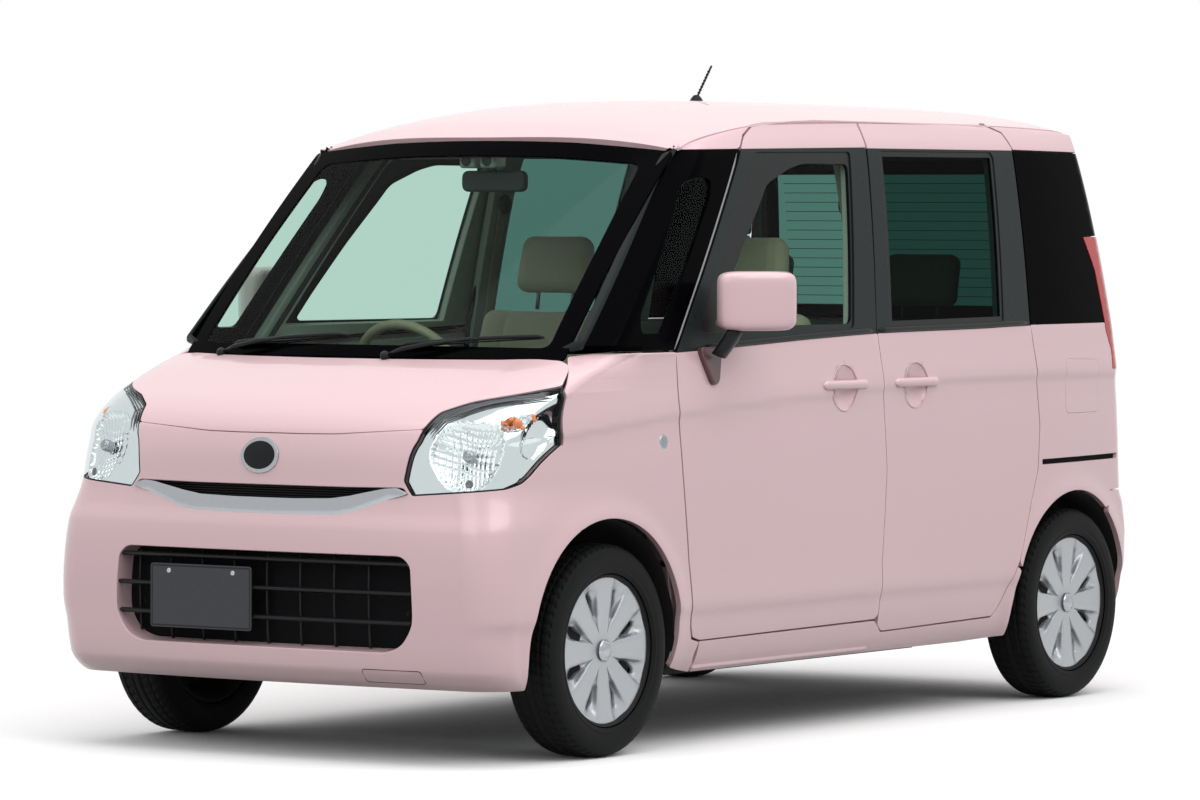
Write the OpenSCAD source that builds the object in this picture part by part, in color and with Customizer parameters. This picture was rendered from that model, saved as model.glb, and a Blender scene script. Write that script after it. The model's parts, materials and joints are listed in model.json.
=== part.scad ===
// Kei-class family car, left-hand view forward: +X to the nose, +Y to the car's left, +Z up.
// Origin on the ground, midway between the bumpers, on the centre line. Millimetres.

/* [Overall] */
// overall length, bumper to bumper
length = 3395; // [3200:5:3400]
// overall body width without the mirrors
width = 1475; // [1395:5:1480]
// roof height above the ground
height = 1735; // [1600:5:1800]
// distance between the axles
wheelbase = 2425; // [2300:5:2500]
// distance of the front axle behind the nose
front_overhang = 561; // [520:1:620]

/* [Wheels] */
// distance between the wheel centres, front
track_front = 1295; // [1250:5:1310]
// distance between the wheel centres, rear
track_rear = 1290; // [1250:5:1310]
// outer radius of a 155/65R14 tyre
tyre_r = 278.5; // [260:0.5:290]
// width of the tyre
tyre_w = 155; // [145:5:165]
// radius of the rim and its cover
rim_r = 198; // [180:1:205]

/* [Body shell] */
// thickness of the doors and the side walls
wall = 42; // [30:1:60]
// thickness of the single outer panels
panel = 6; // [4:1:10]
// gap between the panels that move and their neighbours
gap = 5.4; // [5:0.1:7]
// thickness of the window glass
glass_t = 4; // [3:0.5:6]
// radius of the front wheel arch
arch_rf = 345; // [335:1:360]
// radius of the rear wheel arch
arch_rr = 340; // [330:1:360]

/* [Hidden] */
hl = length / 2;
hw = width / 2;
ax_f = hl - front_overhang;
ax_r = ax_f - wheelbase;
kw = hw / 737.5;
kz = height / 1735;
kl = hl / 1697.5;
king_y = 600;

// half width of the body against height, on the doors
SEC = [[170, 655], [200, 682], [240, 702], [300, 718], [360, 729], [460, 735], [600, 737.5],
  [760, 736.5], [880, 733], [905, 731], [920, 734.5], [1000, 727], [1070, 719], [1090, 716],
  [1300, 683], [1500, 645], [1590, 624], [1640, 606], [1670, 588], [1690, 562]];
// how far the sides draw in towards the nose
FT = [[200, -20], [330, 4], [450, 10], [600, 22], [720, 50], [1000, 50], [1100, 40], [1600, 20]];
// shoulder of the front wings
SH = [[950, 0], [1000, 8], [1020, 18], [1035, 36], [1045, 60], [1052, 80]];
// nose: distance of the centre line ahead of the origin, corner radius and bow of the front
NX = [[185, 1622], [210, 1656], [250, 1684], [340, 1694], [450, 1697.5], [540, 1695], [600, 1690],
  [650, 1676], [700, 1668], [780, 1662], [845, 1646], [880, 1622], [920, 1570], [960, 1490],
  [1000, 1400], [1030, 1312], [1052, 1240]];
RR = [[200, 120], [450, 110], [600, 115], [720, 130], [850, 150], [960, 180], [1050, 210]];
BO = [[200, 40], [450, 38], [700, 50], [850, 70], [1000, 100], [1050, 110]];
// tail: distance of the centre line behind the origin
RX = [[190, 1640], [230, 1680], [330, 1697.5], [480, 1697.5], [560, 1690], [600, 1668],
  [900, 1652], [1100, 1640], [1400, 1606], [1600, 1572], [1690, 1548]];
// roof: height of the centre line
ZC = [[-1560, 1698], [-1500, 1712], [-1350, 1726], [-1000, 1733], [-500, 1735], [-200, 1735],
  [0, 1732], [250, 1716], [450, 1690], [560, 1668], [640, 1640], [705, 1612]];

function clamp(v) = min(max(v, 0), 1);
function side_y(x, z) = kw * (lookup(z / kz + 0.022 * x * clamp((z - 400) / 600), SEC)
  - pow(clamp((x - 900) / 700), 2) * lookup(z, FT)
  - pow(clamp((-1100 - x) / 600), 2) * 34
  - (z < 1053 ? clamp((x - 980) / 200) * lookup(z, SH) : 0));
// a point on the lower body: s 0..1 nose, 1..2 corner, 2..3 side, 3..4 rear corner, 4..5 tail
function ring1(z, s) = let(f = kl * lookup(z, NX), r = lookup(z, RR), bo = lookup(z, BO),
    b = side_y(f - r - bo * 0.7, z), yc = b - r, xc = f - bo * pow(yc / b, 2) - r,
    rx = -kl * lookup(z, RX), rr = 120, rb = 30, br = side_y(rx + rr + rb, z), yr = br - rr,
    xr = rx + rb * pow(yr / br, 2) + rr)
  s <= 1 ? [f - bo * pow(s * yc / b, 2), s * yc, z]
  : s <= 2 ? [xc + r * cos(90 * (s - 1)), yc + r * sin(90 * (s - 1)), z]
  : s <= 3 ? let(x = xc + (xr - xc) * (s - 2))
      [x, side_y(x, z) + (b - side_y(xc, z)) * max(0, 1 - (s - 2) * 6), z]
  : s <= 4 ? [xr - rr * sin(90 * (s - 3)), yr + rr * cos(90 * (s - 3)), z]
  : [rx + rb * pow(yr * (5 - s) / br, 2), yr * (5 - s), z];
function ring(z, s) = s >= 0 ? ring1(z, s) : let(p = ring1(z, -s)) [p[0], -p[1], p[2]];
function rear_x(z) = let(rx = -kl * lookup(z, RX), br = side_y(rx + 150, z))
  rx + 30 * pow((br - 120) / br, 2) + 120;
// front edge of the screen pillar and the outer side of the cabin
function xa(z) = 1195 - (z - 1045) * 555 / 543;
function cabin(x, z) = side_y(x, z) - 70 * pow(1 - clamp((xa(z) - x) / 120), 2);
function side_pt(z, q, x0) = q <= 1 ? let(x = x0 + (rear_x(z) - x0) * q)
    [x, z > 1050 ? cabin(x, z) : side_y(x, z), z] : ring(z, 3 + (q - 1));
// windscreen: u across -1..1, v up 0..1
function screen(u, v) = let(w = 634 - 30 * v, bul = 26 * 4 * v * (1 - v) * 0.5)
  [1292 - 97 * u * u - v * (587 - 32 * u * u) + bul * 0.7, u * w,
   1040 + 3 * (1 - u * u) + v * (569 - 21 * u * u) + bul * 0.7];
function roof_z(x, y) = kz * (lookup(x, ZC) - 46 * pow(abs(y) / 590, 2.2));

// height of the top of the cabin side under the roof edge
function rail_z(x) = min(1652, roof_z(x, 590) - 15);

// range of n + 1 even steps
function steps(a, b, n) = [for (i = [0 : n]) a + (b - a) * i / n];
function unit3(v) = v / norm(v);
// closed shell of thickness t behind the grid G; grid rows run up, columns run so that
// the shell grows inwards
module skin(G, t, off = 0) {
  n = len(G); m = len(G[0]);
  N = [for (i = [0 : n - 1]) [for (j = [0 : m - 1])
    unit3(cross(G[min(i + 1, n - 1)][j] - G[max(i - 1, 0)][j],
                G[i][min(j + 1, m - 1)] - G[i][max(j - 1, 0)]))]];
  P = [for (k = [off, off + t]) for (i = [0 : n - 1]) for (j = [0 : m - 1])
    G[i][j] + N[i][j] * k];
  o = n * m;
  polyhedron(P, concat(
    [for (i = [0 : n - 2]) for (j = [0 : m - 2]) [i*m+j, (i+1)*m+j, (i+1)*m+j+1]],
    [for (i = [0 : n - 2]) for (j = [0 : m - 2]) [i*m+j, (i+1)*m+j+1, i*m+j+1]],
    [for (i = [0 : n - 2]) for (j = [0 : m - 2]) [o+i*m+j, o+(i+1)*m+j+1, o+(i+1)*m+j]],
    [for (i = [0 : n - 2]) for (j = [0 : m - 2]) [o+i*m+j, o+i*m+j+1, o+(i+1)*m+j+1]],
    [for (i = [0 : n - 2]) for (k = [0, 1]) let(a = i*m, b = (i+1)*m)
      k == 0 ? [a, o+a, o+b] : [a, o+b, b]],
    [for (i = [0 : n - 2]) for (k = [0, 1]) let(a = i*m+m-1, b = (i+1)*m+m-1)
      k == 0 ? [a, b, o+b] : [a, o+b, o+a]],
    [for (j = [0 : m - 2]) for (k = [0, 1]) let(a = j, b = j+1)
      k == 0 ? [a, b, o+b] : [a, o+b, o+a]],
    [for (j = [0 : m - 2]) for (k = [0, 1]) let(a = (n-1)*m+j, b = (n-1)*m+j+1)
      k == 0 ? [a, o+a, o+b] : [a, o+b, b]]));
}
module flip(s) { if (s < 0) mirror([0, 1, 0]) children(); else children(); }
module bothways() { children(); mirror([0, 1, 0]) children(); }
// prism through the side of the car over an outline of x and z
module through(pts, y0 = 300, y1 = 1000, grow = 0)
  translate([0, y1, 0]) rotate([90, 0, 0]) linear_extrude(y1 - y0)
    if (grow == 0) polygon(pts); else offset(delta = grow) polygon(pts);
module slab(x, y, z, c) translate([c[0] - x / 2, c[1] - y / 2, c[2] - z / 2]) cube([x, y, z]);
module bar_y(r, y0, y1, x, z) translate([x, y0, z]) rotate([-90, 0, 0]) cylinder(r = r, h = y1 - y0);
module rounded(x, y, z, c, r) translate([c[0] - x / 2, c[1] - y / 2, c[2] - z / 2])
  hull() for (i = [r, x - r], j = [r, y - r], k = [r, z - r]) translate([i, j, k]) sphere(r, $fn = 16);

// door, window and lamp outlines on the side, x and z
FD = [[827, 1044], [360, 1594], [323, 1626], [264, 1653], [201, 1660], [-280, 1671], [-277, 1602],
  [-188, 1096], [-202, 899], [-212, 704], [-191, 454], [-201, 300], [-185, 288], [700, 280],
  [738, 290], [752, 318], [787, 499], [814, 712], [832, 923]];
RD = [[-287, 1671], [-973, 1676], [-1055, 1654], [-1080, 1607], [-1033, 1095], [-1062, 806],
  [-1049, 676], [-945, 420], [-862, 290], [-835, 262], [-233, 252], [-205, 270], [-201, 300],
  [-191, 454], [-212, 704], [-202, 899], [-188, 1096], [-283, 1602]];
FW = [[690, 1106], [318, 1572], [298, 1580], [-190, 1585], [-71, 1100]];
RW = [[-344, 1588], [-955, 1593], [-962, 1580], [-884, 1108], [-262, 1102]];
RQ = [[-1096, 1590], [-1470, 1594], [-1482, 1580], [-1446, 1105], [-1034, 1098]];
QW = [[983, 1146], [675, 1499], [640, 1520], [591, 1527], [545, 1522], [530, 1505], [557, 1459],
  [880, 1095], [900, 1088], [985, 1090], [997, 1105]];
OPENING = [[827, 1044], [360, 1594], [323, 1626], [264, 1653], [201, 1660], [-287, 1671],
  [-973, 1676], [-1055, 1654], [-1080, 1607], [-1033, 1095], [-1062, 806], [-1049, 676],
  [-945, 420], [-862, 290], [-835, 262], [-233, 252], [-205, 270], [-185, 288], [700, 280],
  [738, 290], [752, 318], [787, 499], [814, 712], [832, 923]];
TAIL = [[-1424, 1352], [-1473, 1254], [-1499, 1076], [-1524, 1016], [-1520, 960], [-1800, 960],
  [-1800, 1352]];
// wing outline behind the bumper, x and z
WING = [[1338, 806], [1360, 674], [1352, 643], [1327, 602], [1300, 560], [1300, 100], [703, 100],
  [703, 277.5], [741, 287], [757, 317], [792.5, 499], [819.5, 712], [837.5, 923], [832.5, 1044],
    [832.5, 1060], [1400, 1060],
  [1400, 848], [1345, 842]];
// lamp outline seen from the front corner: across the corner and up
LAMP = [[-150, 969], [-159, 958], [-151, 932], [-159, 819], [-206, 777], [-239, 741], [-259, 723],
  [-300, 709], [-544, 688], [-566, 729], [-550, 794], [-516, 860], [-471, 902], [-369, 934],
  [-262, 953]];
// hood edge in the same view, and the lamp and wing outside it
HOODCUT = [[-566, 600], [-566, 729], [-550, 794], [-516, 860], [-471, 902], [-369, 934], [-262, 953],
  [-152, 969], [-149, 985], [-147.5, 1010], [-146, 1080], [600, 1080], [600, 600]];
WINGCUT = [[-700, 940], [-262, 953], [-152, 969], [-149, 985], [-147.5, 1010], [-146, 1080], [-700,
  1080]];
module corner_prism(pts, g = 0) rotate([0, 0, 34]) translate([1000, 0, 0]) rotate([90, 0, 90])
  linear_extrude(1200) if (g == 0) polygon(pts); else offset(delta = g) polygon(pts);

module nose_grid(z0, z1, n, t, s1, ns) skin([for (z = steps(z0, z1, n)) [for (s = steps(-s1, s1, ns))
  ring(z, s)]], t);

// ---------------------------------------------------------------- body shell
// floor, sills, wheel houses and luggage floor
module floor_pan() color("dimgray") {
  difference() {
    union() {
      slab(1500, 1240, 24, [50, 0, 232]);
      slab(1500, 220, 60, [50, 0, 262]);
      slab(24, 1180, 190, [-690, 0, 330]);
      slab(880, 1180, 24, [-1128, 0, 430]);
      slab(1290, 70, 58, [60, 560, 211]);
      slab(1290, 70, 58, [60, -560, 211]);
      slab(880, 60, 90, [-1120, 470, 375]);
      slab(880, 60, 90, [-1120, -470, 375]);
      slab(60, 1000, 60, [-1560, 0, 390]);
    }
    bothways() bar_y(arch_rr + 6, 520.5, 800, -1270, 272);
    for (s = [-1, 1]) translate([500, s * 560, 150]) cylinder(r = 8, h = 71);
  }
  // inner wheel houses over the rear wheels
  bothways() difference() {
    intersection() {
      bar_y(arch_rr + 12, 520, 640, -1270, 272);
      translate([-1560, 390, 443]) cube([600, 300, 400]);
    }
    bar_y(arch_rr + 6, 530, 800, -1270, 272);
  }
}

// one side of the shell: screen pillar, roof rail, sill, centre pillar, rear quarter
module side_frame() {
  difference() {
    // cabin side above the belt
    skin([for (v = concat([0, 0.07], steps(0.16, 0.9, 5), [0.955, 1]))
      [for (q = concat(steps(0, 0.08, 3), steps(0.16, 1, 9), [1.25, 1.5, 1.68, 1.7]))
        let(t = rail_z(side_pt(1600, q, xa(1600) - 2)[0]), z = 1052 + v * (t - 1052))
          side_pt(z, q, xa(z) - 2)]], 38);
    through(OPENING, 500, 1000, gap / 2 + 0.4);
    through(RQ, 300);
    through(QW, 300);
    tail_cut();
  }
  difference() {
    // sill and rear quarter below the belt
    skin([for (z = [192, 215, 250, 300, 380, 460, 560, 604, 690, 800, 900, 912, 960, 1010, 1051.7])
      [for (q = concat(steps(0, 1, 13), [1.25, 1.5, 1.68, 1.7]))
        z < 590 ? side_pt(z, q * 0.575, 838) : side_pt(z, q, 838)]], wall);
    through(OPENING, 500, 1000, gap / 2 + 0.4);
    bar_y(arch_rr, 300, 900, -1270, 272);
    through([[697, 100], [697, 1060], [1000, 1060], [1000, 100]]);
    translate([-1700, 300, 100]) cube([203.5, 600, 494]);
    tail_cut();
    fuel_cut(0);
  }
  // centre pillar behind the doors, and the roof rail
  translate([-150, 0, 0]) rotate([90, 0, -90]) linear_extrude(92)
    polygon([for (z = [262, 460, 760, 1000, 1300, 1500, 1610]) [-side_y(-200, z) + wall + 10, z],
      for (z = [1610, 1300, 760, 262]) [-side_y(-200, z) + wall + 60, z]]);
  translate([-1060, 490, 1615.5]) cube([1300, 44, 40]);
}
module tail_cut() intersection() {
  translate([-1720, 500, 960]) cube([290, 300, 392]);
  through(TAIL, 400);
}
module fuel_cut(g) through([[-1222 + g, 985 + g], [-1235 + g, 994 + g], [-1412 - g, 990 + g],
  [-1425 - g, 980 + g], [-1427 - g, 848 - g], [-1415 - g, 838 - g], [-1230 + g, 838 - g],
  [-1219 + g, 848 - g]], 600);
module side_frame_left() color("pink") side_frame();
module side_frame_right() color("pink") mirror([0, 1, 0]) side_frame();

// roof skin with its front header
module roof_skin(x0, t) skin([for (y = concat([-590, -578], steps(-550, 550, 10), [578, 590]))
    [for (x = concat([x0, -1480], steps(-1350, 250, 6), [400, 520, 600, 650, 690]))
      let(xx = x - (x > 500 ? 62 * pow(y / 606, 2) : 0))
      [xx, y * (1 - 0.0000023 * pow(max(0, -1390 - xx), 2)), roof_z(xx, y)]]], t);
module roof_panel() color("pink") roof_skin(-1538, 9);

// front structure: bulkhead, side rails, lamp panel, wheel house walls
module front_structure() color("dimgray") difference() {
  union() {
    slab(16, 1180, 530, [878, 0, 505]);
    bothways() {
      slab(700, 60, 90, [1240, 360, 430]);
      slab(540, 14, 330, [1176, 395, 640]);
      slab(60, 240, 180, [1560, 500, 560]);
    }
    slab(50, 860, 90, [1600, 0, 430]);
    slab(40, 800, 40, [1560, 0, 815]);
    slab(36, 500, 330, [1540, 0, 610]);
    // tow eye boss, and the posts the doors hang on
    slab(40, 44, 175, [1600, 360, 312.5]);
    bothways() slab(60, 50, 700, [800, 640, 600]);
  }
  translate([1580, 360, 245]) rotate([0, 90, 0]) cylinder(r = 9, h = 80);
  bothways() bar_y(arch_rf + 4, 402.5, 900, 1160, 280);
}

// front wings behind the headlamps, down to the wheel arches
module fenders() color("pink") bothways() difference() {
  intersection() {
    skin([for (z = [180, 260, 340, 420, 500, 580, 640, 680, 760, 840, 905, 945, 975, 1005, 1025, 1040,
      1049])
      [for (x = steps(1420, 740, 11)) [x, side_y(x, z), z]]], panel);
    through(WING, 300);
  }
  bar_y(arch_rf, 300, 900, 1160, 280);
  corner_prism(LAMP, 1);
  corner_prism(WINGCUT, 0.4);
}

// front bumper and nose panel with the grille openings
module front_bumper() color("pink") difference() {
  nose_grid(196, 836, 15, panel, 2.09, 34);
  corner_prism(LAMP, 1.5);
  mirror([0, 1, 0]) corner_prism(LAMP, 1.5);
  bothways() through([[1350, 1000], [1350, 740], [1370, 674], [1362, 641], [1337, 602], [1310, 560],
    [1310, 100], [900, 100], [900, 1000]], 500);
  bothways() bar_y(arch_rf, 300, 900, 1160, 280);
  // lower opening and the slot over the bright bar
  translate([1500, 0, 0]) rotate([90, 0, 90]) linear_extrude(300) grille_shape(0);
  translate([1500, 0, 0]) rotate([90, 0, 90]) linear_extrude(300) slot_shape(0);
  translate([1500, 360, 245]) rotate([0, 90, 0]) cylinder(r = 14, h = 300);
}
module grille_shape(g) offset(delta = -g) polygon([[-446, 542], [-475, 517], [-478, 350],
  [-447, 307], [-400, 287], [400, 287], [447, 307], [478, 350], [475, 517], [446, 542]]);
module slot_shape(g) offset(delta = -g) polygon([[-432, 712], [432, 712], [449, 693], [388, 680], [278,
  645],
  [227, 636], [-227, 636], [-278, 645], [-388, 680], [-449, 693]]);
// bright bar in the slot with the dark mesh above it
module smile_bar() color("silver") {
  intersection() {
    skin([for (z = [600, 640, 680, 730]) [for (s = steps(-0.95, 0.95, 20)) ring(z, s)]], 10, -2);
    translate([1500, 0, 0]) rotate([90, 0, 90]) linear_extrude(300) difference() {
      slot_shape(1);
      polygon([[-410, 711], [410, 711], [372, 708], [272, 689], [208, 679], [-208, 679],
        [-272, 689], [-372, 708]]);
      translate([-600, 708]) square([1200, 10]);
    }
  }
}
module lower_grille() color("black") {
  intersection() {
    difference() {
      skin([for (z = [270, 400, 560]) [for (s = steps(-0.98, 0.98, 12)) ring(z, s)]], 8, 40);
      for (z = [330, 405, 480]) for (y = [-430 : 108 : 400]) translate([1500, y, z - 22])
        cube([300, 96, 44]);
    }
    translate([1400, 0, 0]) rotate([90, 0, 90]) linear_extrude(400) grille_shape(-6);
  }
  for (z = [366, 442, 518]) intersection() {
    skin([for (y = [z - 7, z + 7]) [for (s = steps(-0.98, 0.98, 12)) ring(y, s)]], 26, 12);
    translate([1400, 0, 0]) rotate([90, 0, 90]) linear_extrude(400) grille_shape(0.6);
  }
}
module front_plate() color("black") difference() {
  union() {
    slab(3, 330, 165, [1695.5, -187, 413]);
    slab(8, 240, 30, [1690.2, -187, 473]);
  }
  for (s = [-105, 105]) translate([1680, -187 + s, 478]) rotate([0, 90, 0]) cylinder(r = 3.5, h = 40);
}
module headlamps() color("lightgray") bothways() intersection() {
  skin([for (z = [670, 720, 760, 800, 850, 900, 935, 955, 975]) [for (s = steps(0.6, 2.35, 16))
    ring(z, s)]], 60);
  corner_prism(LAMP, -0.6);
}

// laminated windscreen
module windshield() color("lightblue", 0.4)
  skin([for (v = steps(-0.012, 0.985, 6)) [for (u = steps(-0.972, 0.972, 12)) screen(u, v)]], 5);
// scuttle between hood and screen, and the two wipers
module cowl_wipers() color("black") {
  skin([for (k = [0, 1]) [for (u = steps(-0.97, 0.97, 10)) let(p = screen(u, 0))
    k == 0 ? [p[0] + 40, p[1], 979] : [p[0] - 12, p[1], 1003]]], 20);
  for (w = [[150, 540], [-430, -40]]) {
    a = screen(w[0] / 634, 0.02); b = screen(w[1] / 634, 0.085);
    hull() { translate(a + [15, 0, 10]) sphere(7, $fn = 12); translate(b + [15, 0, 10]) sphere(4,
      $fn = 12); }
  }
}
module fixed_side_glass() color("darkslategray") bothways() {
  intersection() {
    skin([for (z = [1080, 1350, 1610]) [for (x = steps(-1000, -1500, 5)) [x, cabin(x, z), z]]],
      glass_t, 3);
    through(RQ, 300, 1000, -0.6);
  }
  intersection() {
    skin([for (z = steps(1075, 1540, 6)) [for (t = steps(0, 1, 4)) let(x = xa(z) - 20 - t * 260)
      [x, cabin(x, z), z]]], glass_t, 3);
    through(QW, 300, 1000, -0.6);
  }
}

// ---------------------------------------------------------------- doors
module door_skin(pts, win, x0, x1, t) difference() {
  intersection() {
    skin([for (z = concat([245, 275, 310, 360, 460, 600, 760, 880, 905, 920, 1000, 1060],
      steps(1100, 1590, 5), [1630, 1655, 1680])) [for (x = steps(x0, x1, 8)) [x, cabin(x, z), z]]], t);
    through(pts, 300, 1000, -gap / 2 - 0.7);
  }
  through(win, 300);
}
module front_door() difference() {
  door_skin(FD, FW, 860, -320, wall);
  // handle cup
  translate([-6, 745, 925]) scale([1, 0.5, 1]) sphere(38, $fn = 20);
  // clearance for the pillar inside
  translate([-256, 500, 200]) cube([100, 100, 1500]);
}
module handle(x) {
  translate([x - 100, 741, 947]) rotate([0, 90, 0]) cylinder(r = 7, h = 236, $fn = 16);
  for (d = [-92, 128]) translate([x + d, 728, 947]) rotate([-90, 0, 0]) cylinder(r = 6, h = 16, $fn = 12);
}
module front_door_left() color("pink") { front_door(); handle(0); }
module front_door_right() color("pink") mirror([0, 1, 0]) { front_door(); handle(0); }
module door_glass() color("lightblue", 0.4) intersection() {
  skin([for (z = steps(1080, 1610, 5)) [for (x = steps(720, -220, 6)) [x, cabin(x, z), z]]], glass_t, 6);
  through(FW, 300, 1000, -0.6);
}
module door_glass_left() door_glass();
module door_glass_right() mirror([0, 1, 0]) door_glass();
module rear_door() difference() {
  door_skin(RD, RW, -160, -1110, wall);
  translate([-360, 745, 925]) scale([1, 0.5, 1]) sphere(38, $fn = 20);
  translate([-256, 500, 200]) cube([110, 100, 1500]);
}
module rear_door_left() color("pink") { rear_door(); handle(-398); }
module rear_door_right() color("pink") mirror([0, 1, 0]) { rear_door(); handle(-398); }
module rear_door_glass() color("darkslategray") bothways() intersection() {
  skin([for (z = steps(1080, 1610, 5)) [for (x = steps(-230, -980, 6)) [x, cabin(x, z), z]]], glass_t, 4);
  through(RW, 300, 1000, -0.6);
}
module mirror_body() {
  // swept housing, open to the rear for the mirror glass
  difference() {
    translate([0, 0, 1104]) linear_extrude(158) polygon([[714, 786], [706, 768], [690, 756],
      [560, 754], [536, 762], [529, 780], [529, 900], [540, 914], [560, 920], [584, 916],
      [640, 884], [690, 836], [708, 808]]);
    translate([520, 775, 1124]) cube([24, 128, 118]);
  }
  // stalk and the foot under the belt line
  translate([648, 0, 0]) rotate([90, 0, 90]) linear_extrude(52)
    polygon([[744, 1052.4], [772, 1052.4], [808, 1100], [768, 1100]]);
  translate([0, 762, 0]) rotate([90, 0, 0]) linear_extrude(20) polygon([[722, 1052], [640, 1052],
    [630, 1040], [650, 972], [660, 962], [674, 964], [708, 1026]]);
}
module mirror_left() color("pink") mirror_body();
module mirror_right() color("pink") mirror([0, 1, 0]) mirror_body();

// hood over the engine bay, hinged at its rear corners
module hood_edge(d) linear_extrude(1200) polygon(concat([for (u = steps(-1.02, 1.02, 24))
  [1312 + d - 97 * u * u, 634 * u]], [[900, 700], [900, -700]]));
module hood() color("pink") difference() {
  skin([for (z = [844, 862, 880, 900, 920, 945, 965, 985, 1005, 1022, 1036, 1046])
    [for (s = steps(-2.04, 2.04, 30))
    ring(z, s)]], 10);
  corner_prism(HOODCUT, gap);
  mirror([0, 1, 0]) corner_prism(HOODCUT, gap);
  hood_edge(0);
}

// ---------------------------------------------------------------- rear end
module rear_bumper() color("pink") difference() {
  skin([for (z = [204, 225, 260, 330, 420, 500, 545, 575, 596]) [for (s = steps(2.9, 7.1, 30))
    s <= 5 ? ring(z, s) : ring(z, -(10 - s))]], panel);
  bothways() bar_y(arch_rr, 300, 900, -1270, 272);
  translate([-1497, -1000, 0]) cube([300, 2000, 700]);
}
module tail_lamps() color("red") bothways() intersection() {
  skin([for (z = steps(958, 1355, 5)) [for (q = concat([0.95, 0.975, 1], [1.2, 1.4, 1.6, 1.68, 1.7]))
    side_pt(z, q, 838)]], 38);
  difference() {
    translate([-1720, 500, 961]) cube([250, 300, 390]);
  }
  through([[-1427, 1351], [-1475, 1254], [-1501, 1076], [-1526, 1016], [-1522, 961], [-1800, 961],
    [-1800, 1351]], 400);
}
module tailgate() color("pink") difference() {
  skin([for (z = concat([604, 640], steps(700, 1550, 9), [1600, 1640, 1668])) [for (s = concat([3.77,
    3.79], steps(3.88, 6.12, 18), [6.21, 6.23]))
    s <= 5 ? ring(z, s) : ring(z, -(10 - s))]], 38);
  translate([-1800, 0, 0]) rotate([90, 0, 90]) linear_extrude(400) gate_window(0);
  translate([-1800, -290, 700]) cube([128, 580, 190]);
  roof_skin(-1640, 21);
}
module gate_window(g) offset(delta = -g) polygon([[-560, 1120], [-530, 1560], [-510, 1582], [510, 1582],
  [530, 1560], [560, 1120], [540, 1098], [-540, 1098]]);
module tailgate_glass() color("darkslategray") intersection() {
  skin([for (z = steps(1080, 1600, 5)) [for (s = steps(3.9, 6.1, 12)) s <= 5 ? ring(z, s) : ring(z,
    -(10 - s))]],
    glass_t, 3);
  translate([-1800, 0, 0]) rotate([90, 0, 90]) linear_extrude(400) gate_window(0.6);
}
module fuel_lid() color("pink") intersection() {
  skin([for (z = [820, 880, 905, 920, 960, 1005]) [for (x = [-1200, -1320, -1440]) [x, side_y(x, z),
    z]]], 3);
  fuel_cut(-gap);
}
module antenna() color("black") {
  translate([-360, 0, 1736.3]) cylinder(r1 = 24, r2 = 12, h = 14);
  translate([-360, 0, 1744]) rotate([0, -38, 0]) cylinder(r1 = 6, r2 = 3, h = 118);
}

// ---------------------------------------------------------------- cabin
module dashboard() color("darkslategray") difference() {
  union() {
    translate([0, 590, 0]) rotate([90, 0, 0]) linear_extrude(1180) polygon([[1020, 985], [1140, 992],
      [1130, 905], [905, 895], [892, 800], [700, 640], [660, 760], [668, 900], [760, 990]]);
    translate([690, -150, 620]) cube([90, 300, 280]);
  }
  translate([600, -440, 700]) cube([75, 180, 150]);
}

SEAT = [[250, 500], [262, 540], [250, 590], [200, 615], [60, 618], [-150, 600], [-190, 640], [-315, 1120],
  [-345, 1150], [-400, 1150], [-425, 1120], [-320, 600], [-290, 530], [-230, 500]];
module front_seat() translate([230, 0, 0]) {
  translate([0, 240, 0]) rotate([90, 0, 0]) linear_extrude(480) polygon(SEAT);
  translate([0, 125, 0]) rotate([90, 0, 0]) linear_extrude(250) polygon([[-335, 1190], [-318, 1260],
    [-330, 1330], [-360, 1352], [-395, 1345], [-415, 1300], [-412, 1215], [-390, 1185]]);
  for (y = [-60, 60]) translate([-375, y, 1150.4]) cylinder(r = 6, h = 34);
  translate([-200, -200, 246]) cube([380, 400, 253]);
}
module driver_seat() color("tan") translate([0, -330, 0]) front_seat();
module passenger_seat() color("tan") translate([0, 330, 0]) front_seat();
module rear_seat() color("tan") translate([-780, 0, 0]) {
  translate([0, 510, 0]) rotate([90, 0, 0]) linear_extrude(1020) polygon([[250, 480], [255, 560], [225,
    600],
    [60, 608], [-150, 590], [-185, 630], [-300, 1080], [-330, 1110], [-385, 1110], [-410, 1080], [-310,
      560], [-270, 480]]);
  for (y = [-290, 290]) translate([0, y + 125, 0]) rotate([90, 0, 0]) linear_extrude(250)
    polygon([[-325, 1150], [-305, 1215], [-318, 1285], [-350, 1305], [-385, 1298], [-402, 1250], [-400,
      1170], [-378, 1145]]);
  for (y = [-350, -230, 230, 350]) translate([-362, y, 1110.4]) cylinder(r = 6, h = 34);
  translate([-240, -480, 444]) cube([460, 960, 35]);
}
module steering_wheel() color("tan") translate([560, -330, 945]) rotate([0, -65, 0]) {
  rotate_extrude() translate([178, 0]) circle(14, $fn = 20);
  difference() {
    union() {
      cylinder(r = 62, h = 30, center = true);
      for (a = [90, 180, 270]) rotate([0, 0, a]) translate([0, -17, -8]) cube([170, 34, 12]);
    }
  }
  translate([0, 0, -110]) cylinder(r = 28, h = 100);
}
module room_mirror() color("black") {
  rounded(36, 220, 66, [640, 0, 1500], 17);
  translate([640, 0, 1530]) rotate([0, 30, 0]) cylinder(r = 9, h = 50);
  rounded(70, 120, 40, [680, 0, 1570], 18);
}

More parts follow.
